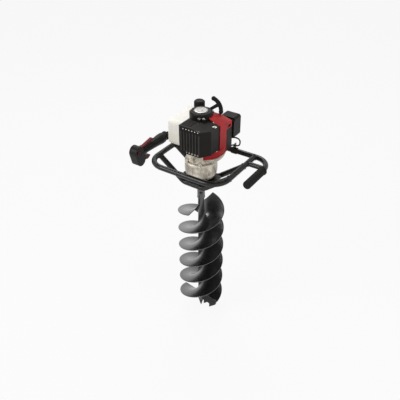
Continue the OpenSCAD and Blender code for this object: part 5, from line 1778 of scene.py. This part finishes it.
@dataclass
class FuelTank:
    """Blow-moulded tank with a pinched seam and a threaded neck."""

    cap_at: tuple[float, float] = (-0.089, 0.123)
    neck_r: float = 0.018
    neck_h: float = 0.026
    neck_wall: float = 0.004
    neck_sunk: float = 0.0004
    thread_h: float = 0.0007
    thread_pitch: float = 0.006
    thread_at: float = 0.018
    thread_from: float = 0.01
    square: float = 0.24
    seam_at: float = 0.935
    seam_w: float = 0.0012
    seam_h: float = 0.001

    def squared(self, wave: Array) -> Array:
        """A sine or cosine raised to the small power that squares the shell, with its sign kept."""
        return np.sign(wave) * np.abs(wave) ** self.square

    def shell(self, low: Array, high: Array) -> Array:
        """A superellipsoid in the tank's box: the sines and cosines raised to a small power.

        Args:
            low: Lowest corner of the box.
            high: Highest corner of the box.

        Returns:
            Rings from the bottom up by points round each ring by three.
        """
        climb, turn = half(121)[1:-1, None], full(160)[None]
        level = self.squared(np.cos(climb))
        x, y = level * self.squared(np.cos(turn)), level * self.squared(np.sin(turn))
        points = (high + low) / 2.0 + (high - low) / 2.0 * rows(x, y, self.squared(np.sin(climb)))
        pinch = np.exp(-(((points[..., 2:] - self.seam_at) / self.seam_w) ** 2))
        return points + self.seam_h * pinch * rows(x, y, 0.0)

    def neck(self, foot: float) -> Array:
        """The neck's turned wall, with thread rings that are the crests of a cosine.

        Args:
            foot: Height of the neck's foot.

        Returns:
            Profile by side by three points.
        """
        height = np.linspace(0.0, self.neck_h, 40)
        crest = np.cos(2.0 * np.pi * (height - self.thread_at) / self.thread_pitch)
        thread = self.thread_h * np.clip(crest, 0.0, 1.0) * (height > self.thread_from)
        outer = rows(self.neck_r + thread, height)
        inner = rows(self.neck_r - self.neck_wall, height[::-1])
        return lathe(np.vstack([outer, inner]), np.array([*self.cap_at, foot]), 64)

    def build(self, wardrobe: Wardrobe) -> None:
        """Makes the tank in place of its plain solid.

        Args:
            wardrobe: Where the finish comes from.
        """
        low, high = (np.array(corner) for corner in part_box("fuel_tank"))
        high[2] -= self.neck_h
        piece = Piece("fuel_tank_shell").tube(self.shell(low, high))
        piece.grid(self.neck(high[2] - self.neck_sunk), round_rows=True)
        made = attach(wardrobe.dressed(piece, Slot.TANK), "frame")
        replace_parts(made, "fuel_tank")


# Studio


@dataclass(frozen=True)
class Lamp:
    """One square soft lamp: its place, side in metres, power in watts, and whether gloss shows it."""

    name: str
    at: Triple
    size: float
    power: float
    mirrored: bool = True

    def hang(self, aim: Array) -> None:
        """Puts the lamp in the scene, facing a point.

        Args:
            aim: The point.
        """
        data = bpy.data.lights.new(self.name, "AREA")
        data.size = self.size
        data.energy = self.power
        made = new_object(self.name, data)
        made.location = self.at
        made.rotation_mode = "QUATERNION"
        made.rotation_quaternion = Vector(tuple(aim - self.at)).to_track_quat("-Z", "Y")
        made.visible_glossy = self.mirrored


@dataclass
class Studio:
    """Camera, floor, world and lamps."""

    eye: Triple = (1.0082, -1.5307, 1.8997)
    pitch: float = 34.861
    azimuth: float = 33.372
    lens: float = 47.412
    shift: float = -0.00275
    world_level: float = 0.44
    ceiling_level: float = 0.12
    ceiling_from: float = 0.3
    ceiling_to: float = 0.85
    floor_half: float = 30.0
    floor_z: float = -0.0006
    floor_grey: float = 0.62
    floor_glow: float = 0.9
    aim: Triple = (0.0, 0.0, 0.75)
    lamps: tuple[Lamp, ...] = (
        Lamp("key_lamp", (-1.4, -2.4, 2.9), 1.5, 58.0),
        Lamp("side_lamp", (2.7, -0.5, 2.1), 1.6, 30.0, mirrored=False),
        Lamp("back_lamp", (-1.3, 1.5, 3.6), 1.6, 42.0),
    )

    def camera(self) -> None:
        """Sets the photograph's camera."""
        data = bpy.data.cameras.new("camera")
        data.lens = self.lens
        data.sensor_width = 36.0
        data.sensor_fit = "AUTO"
        data.shift_x = self.shift
        made = new_object("camera", data)
        made.location = self.eye
        made.rotation_euler = (math.radians(90.0 - self.pitch), 0.0, math.radians(self.azimuth))
        bpy.context.scene.camera = made

    def seen(self, graph: Graph) -> Value:
        """1 for rays from the camera, mirrors and glass.

        Args:
            graph: The material's or world's nodes.

        Returns:
            The mask.
        """
        names = ("Is Camera Ray", "Is Glossy Ray", "Is Transmission Ray")
        camera, glossy, glass = (graph.node("ShaderNodeLightPath", out=name) for name in names)
        return graph.math("MAXIMUM", graph.math("MAXIMUM", camera, glossy), glass)

    def world(self) -> None:
        """A white surround with a dim ceiling, which shows only in mirrors and gloss."""
        world = bpy.data.worlds.new("surround")
        graph = Graph(world)
        glossy = graph.node("ShaderNodeLightPath", out="Is Glossy Ray")
        height = graph.axis(graph.node("ShaderNodeTexCoord", out="Generated"), "Z")
        ceiling = height.ramp(self.ceiling_from, self.ceiling_to) * (1.0 - self.ceiling_level)
        level = self.seen(graph) * (1.0 - self.world_level) + self.world_level - ceiling * glossy
        shader = graph.node("ShaderNodeBackground", None, {"Color": WHITE, "Strength": level})
        graph.node("ShaderNodeOutputWorld", None, {"Surface": shader})
        bpy.context.scene.world = world

    def floor(self) -> None:
        """A pale floor that keeps a soft shadow."""
        mesh = bpy.data.meshes.new("floor")
        corners = rows(*(SQUARE * self.floor_half).T, self.floor_z)
        mesh.from_pydata(corners.tolist(), [], [(0, 1, 2, 3)])
        material = bpy.data.materials.new("floor_white")
        graph = Graph(material)
        grey = opaque((self.floor_grey,) * 3)
        matt = graph.node("ShaderNodeBsdfDiffuse", None, {"Color": grey})
        glow = graph.node("ShaderNodeEmission", None, {"Color": WHITE, "Strength": 1.0})
        share = self.seen(graph) * self.floor_glow
        both = graph.node("ShaderNodeMixShader", None, {0: share, 1: matt, 2: glow})
        graph.node("ShaderNodeOutputMaterial", None, {"Surface": both})
        mesh.materials.append(material)
        new_object("floor", mesh)

    def build(self) -> None:
        """Sets up everything round the object."""
        bpy.context.scene.view_settings.view_transform = "Standard"
        self.camera()
        self.world()
        self.floor()
        for lamp in self.lamps:
            lamp.hang(np.array(self.aim))


def main() -> None:
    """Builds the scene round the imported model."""
    logging.basicConfig(level=logging.INFO, format="%(name)s: %(message)s")
    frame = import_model()
    Studio().build()
    wardrobe = Wardrobe()
    ThrottleCable().build(wardrobe)
    StarterRope().build(wardrobe)
    wardrobe.dress(frame)
    Bit().build(wardrobe)
    FrameWelds().build(wardrobe)
    PlainGrip().build(wardrobe)
    FuelTank().build(wardrobe)
    GearboxSkin().build(wardrobe)
    FanBell().build(wardrobe)
    LouvreBars().build()
    HeatShield().build(wardrobe)
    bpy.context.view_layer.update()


if __name__ == "__main__":
    main()
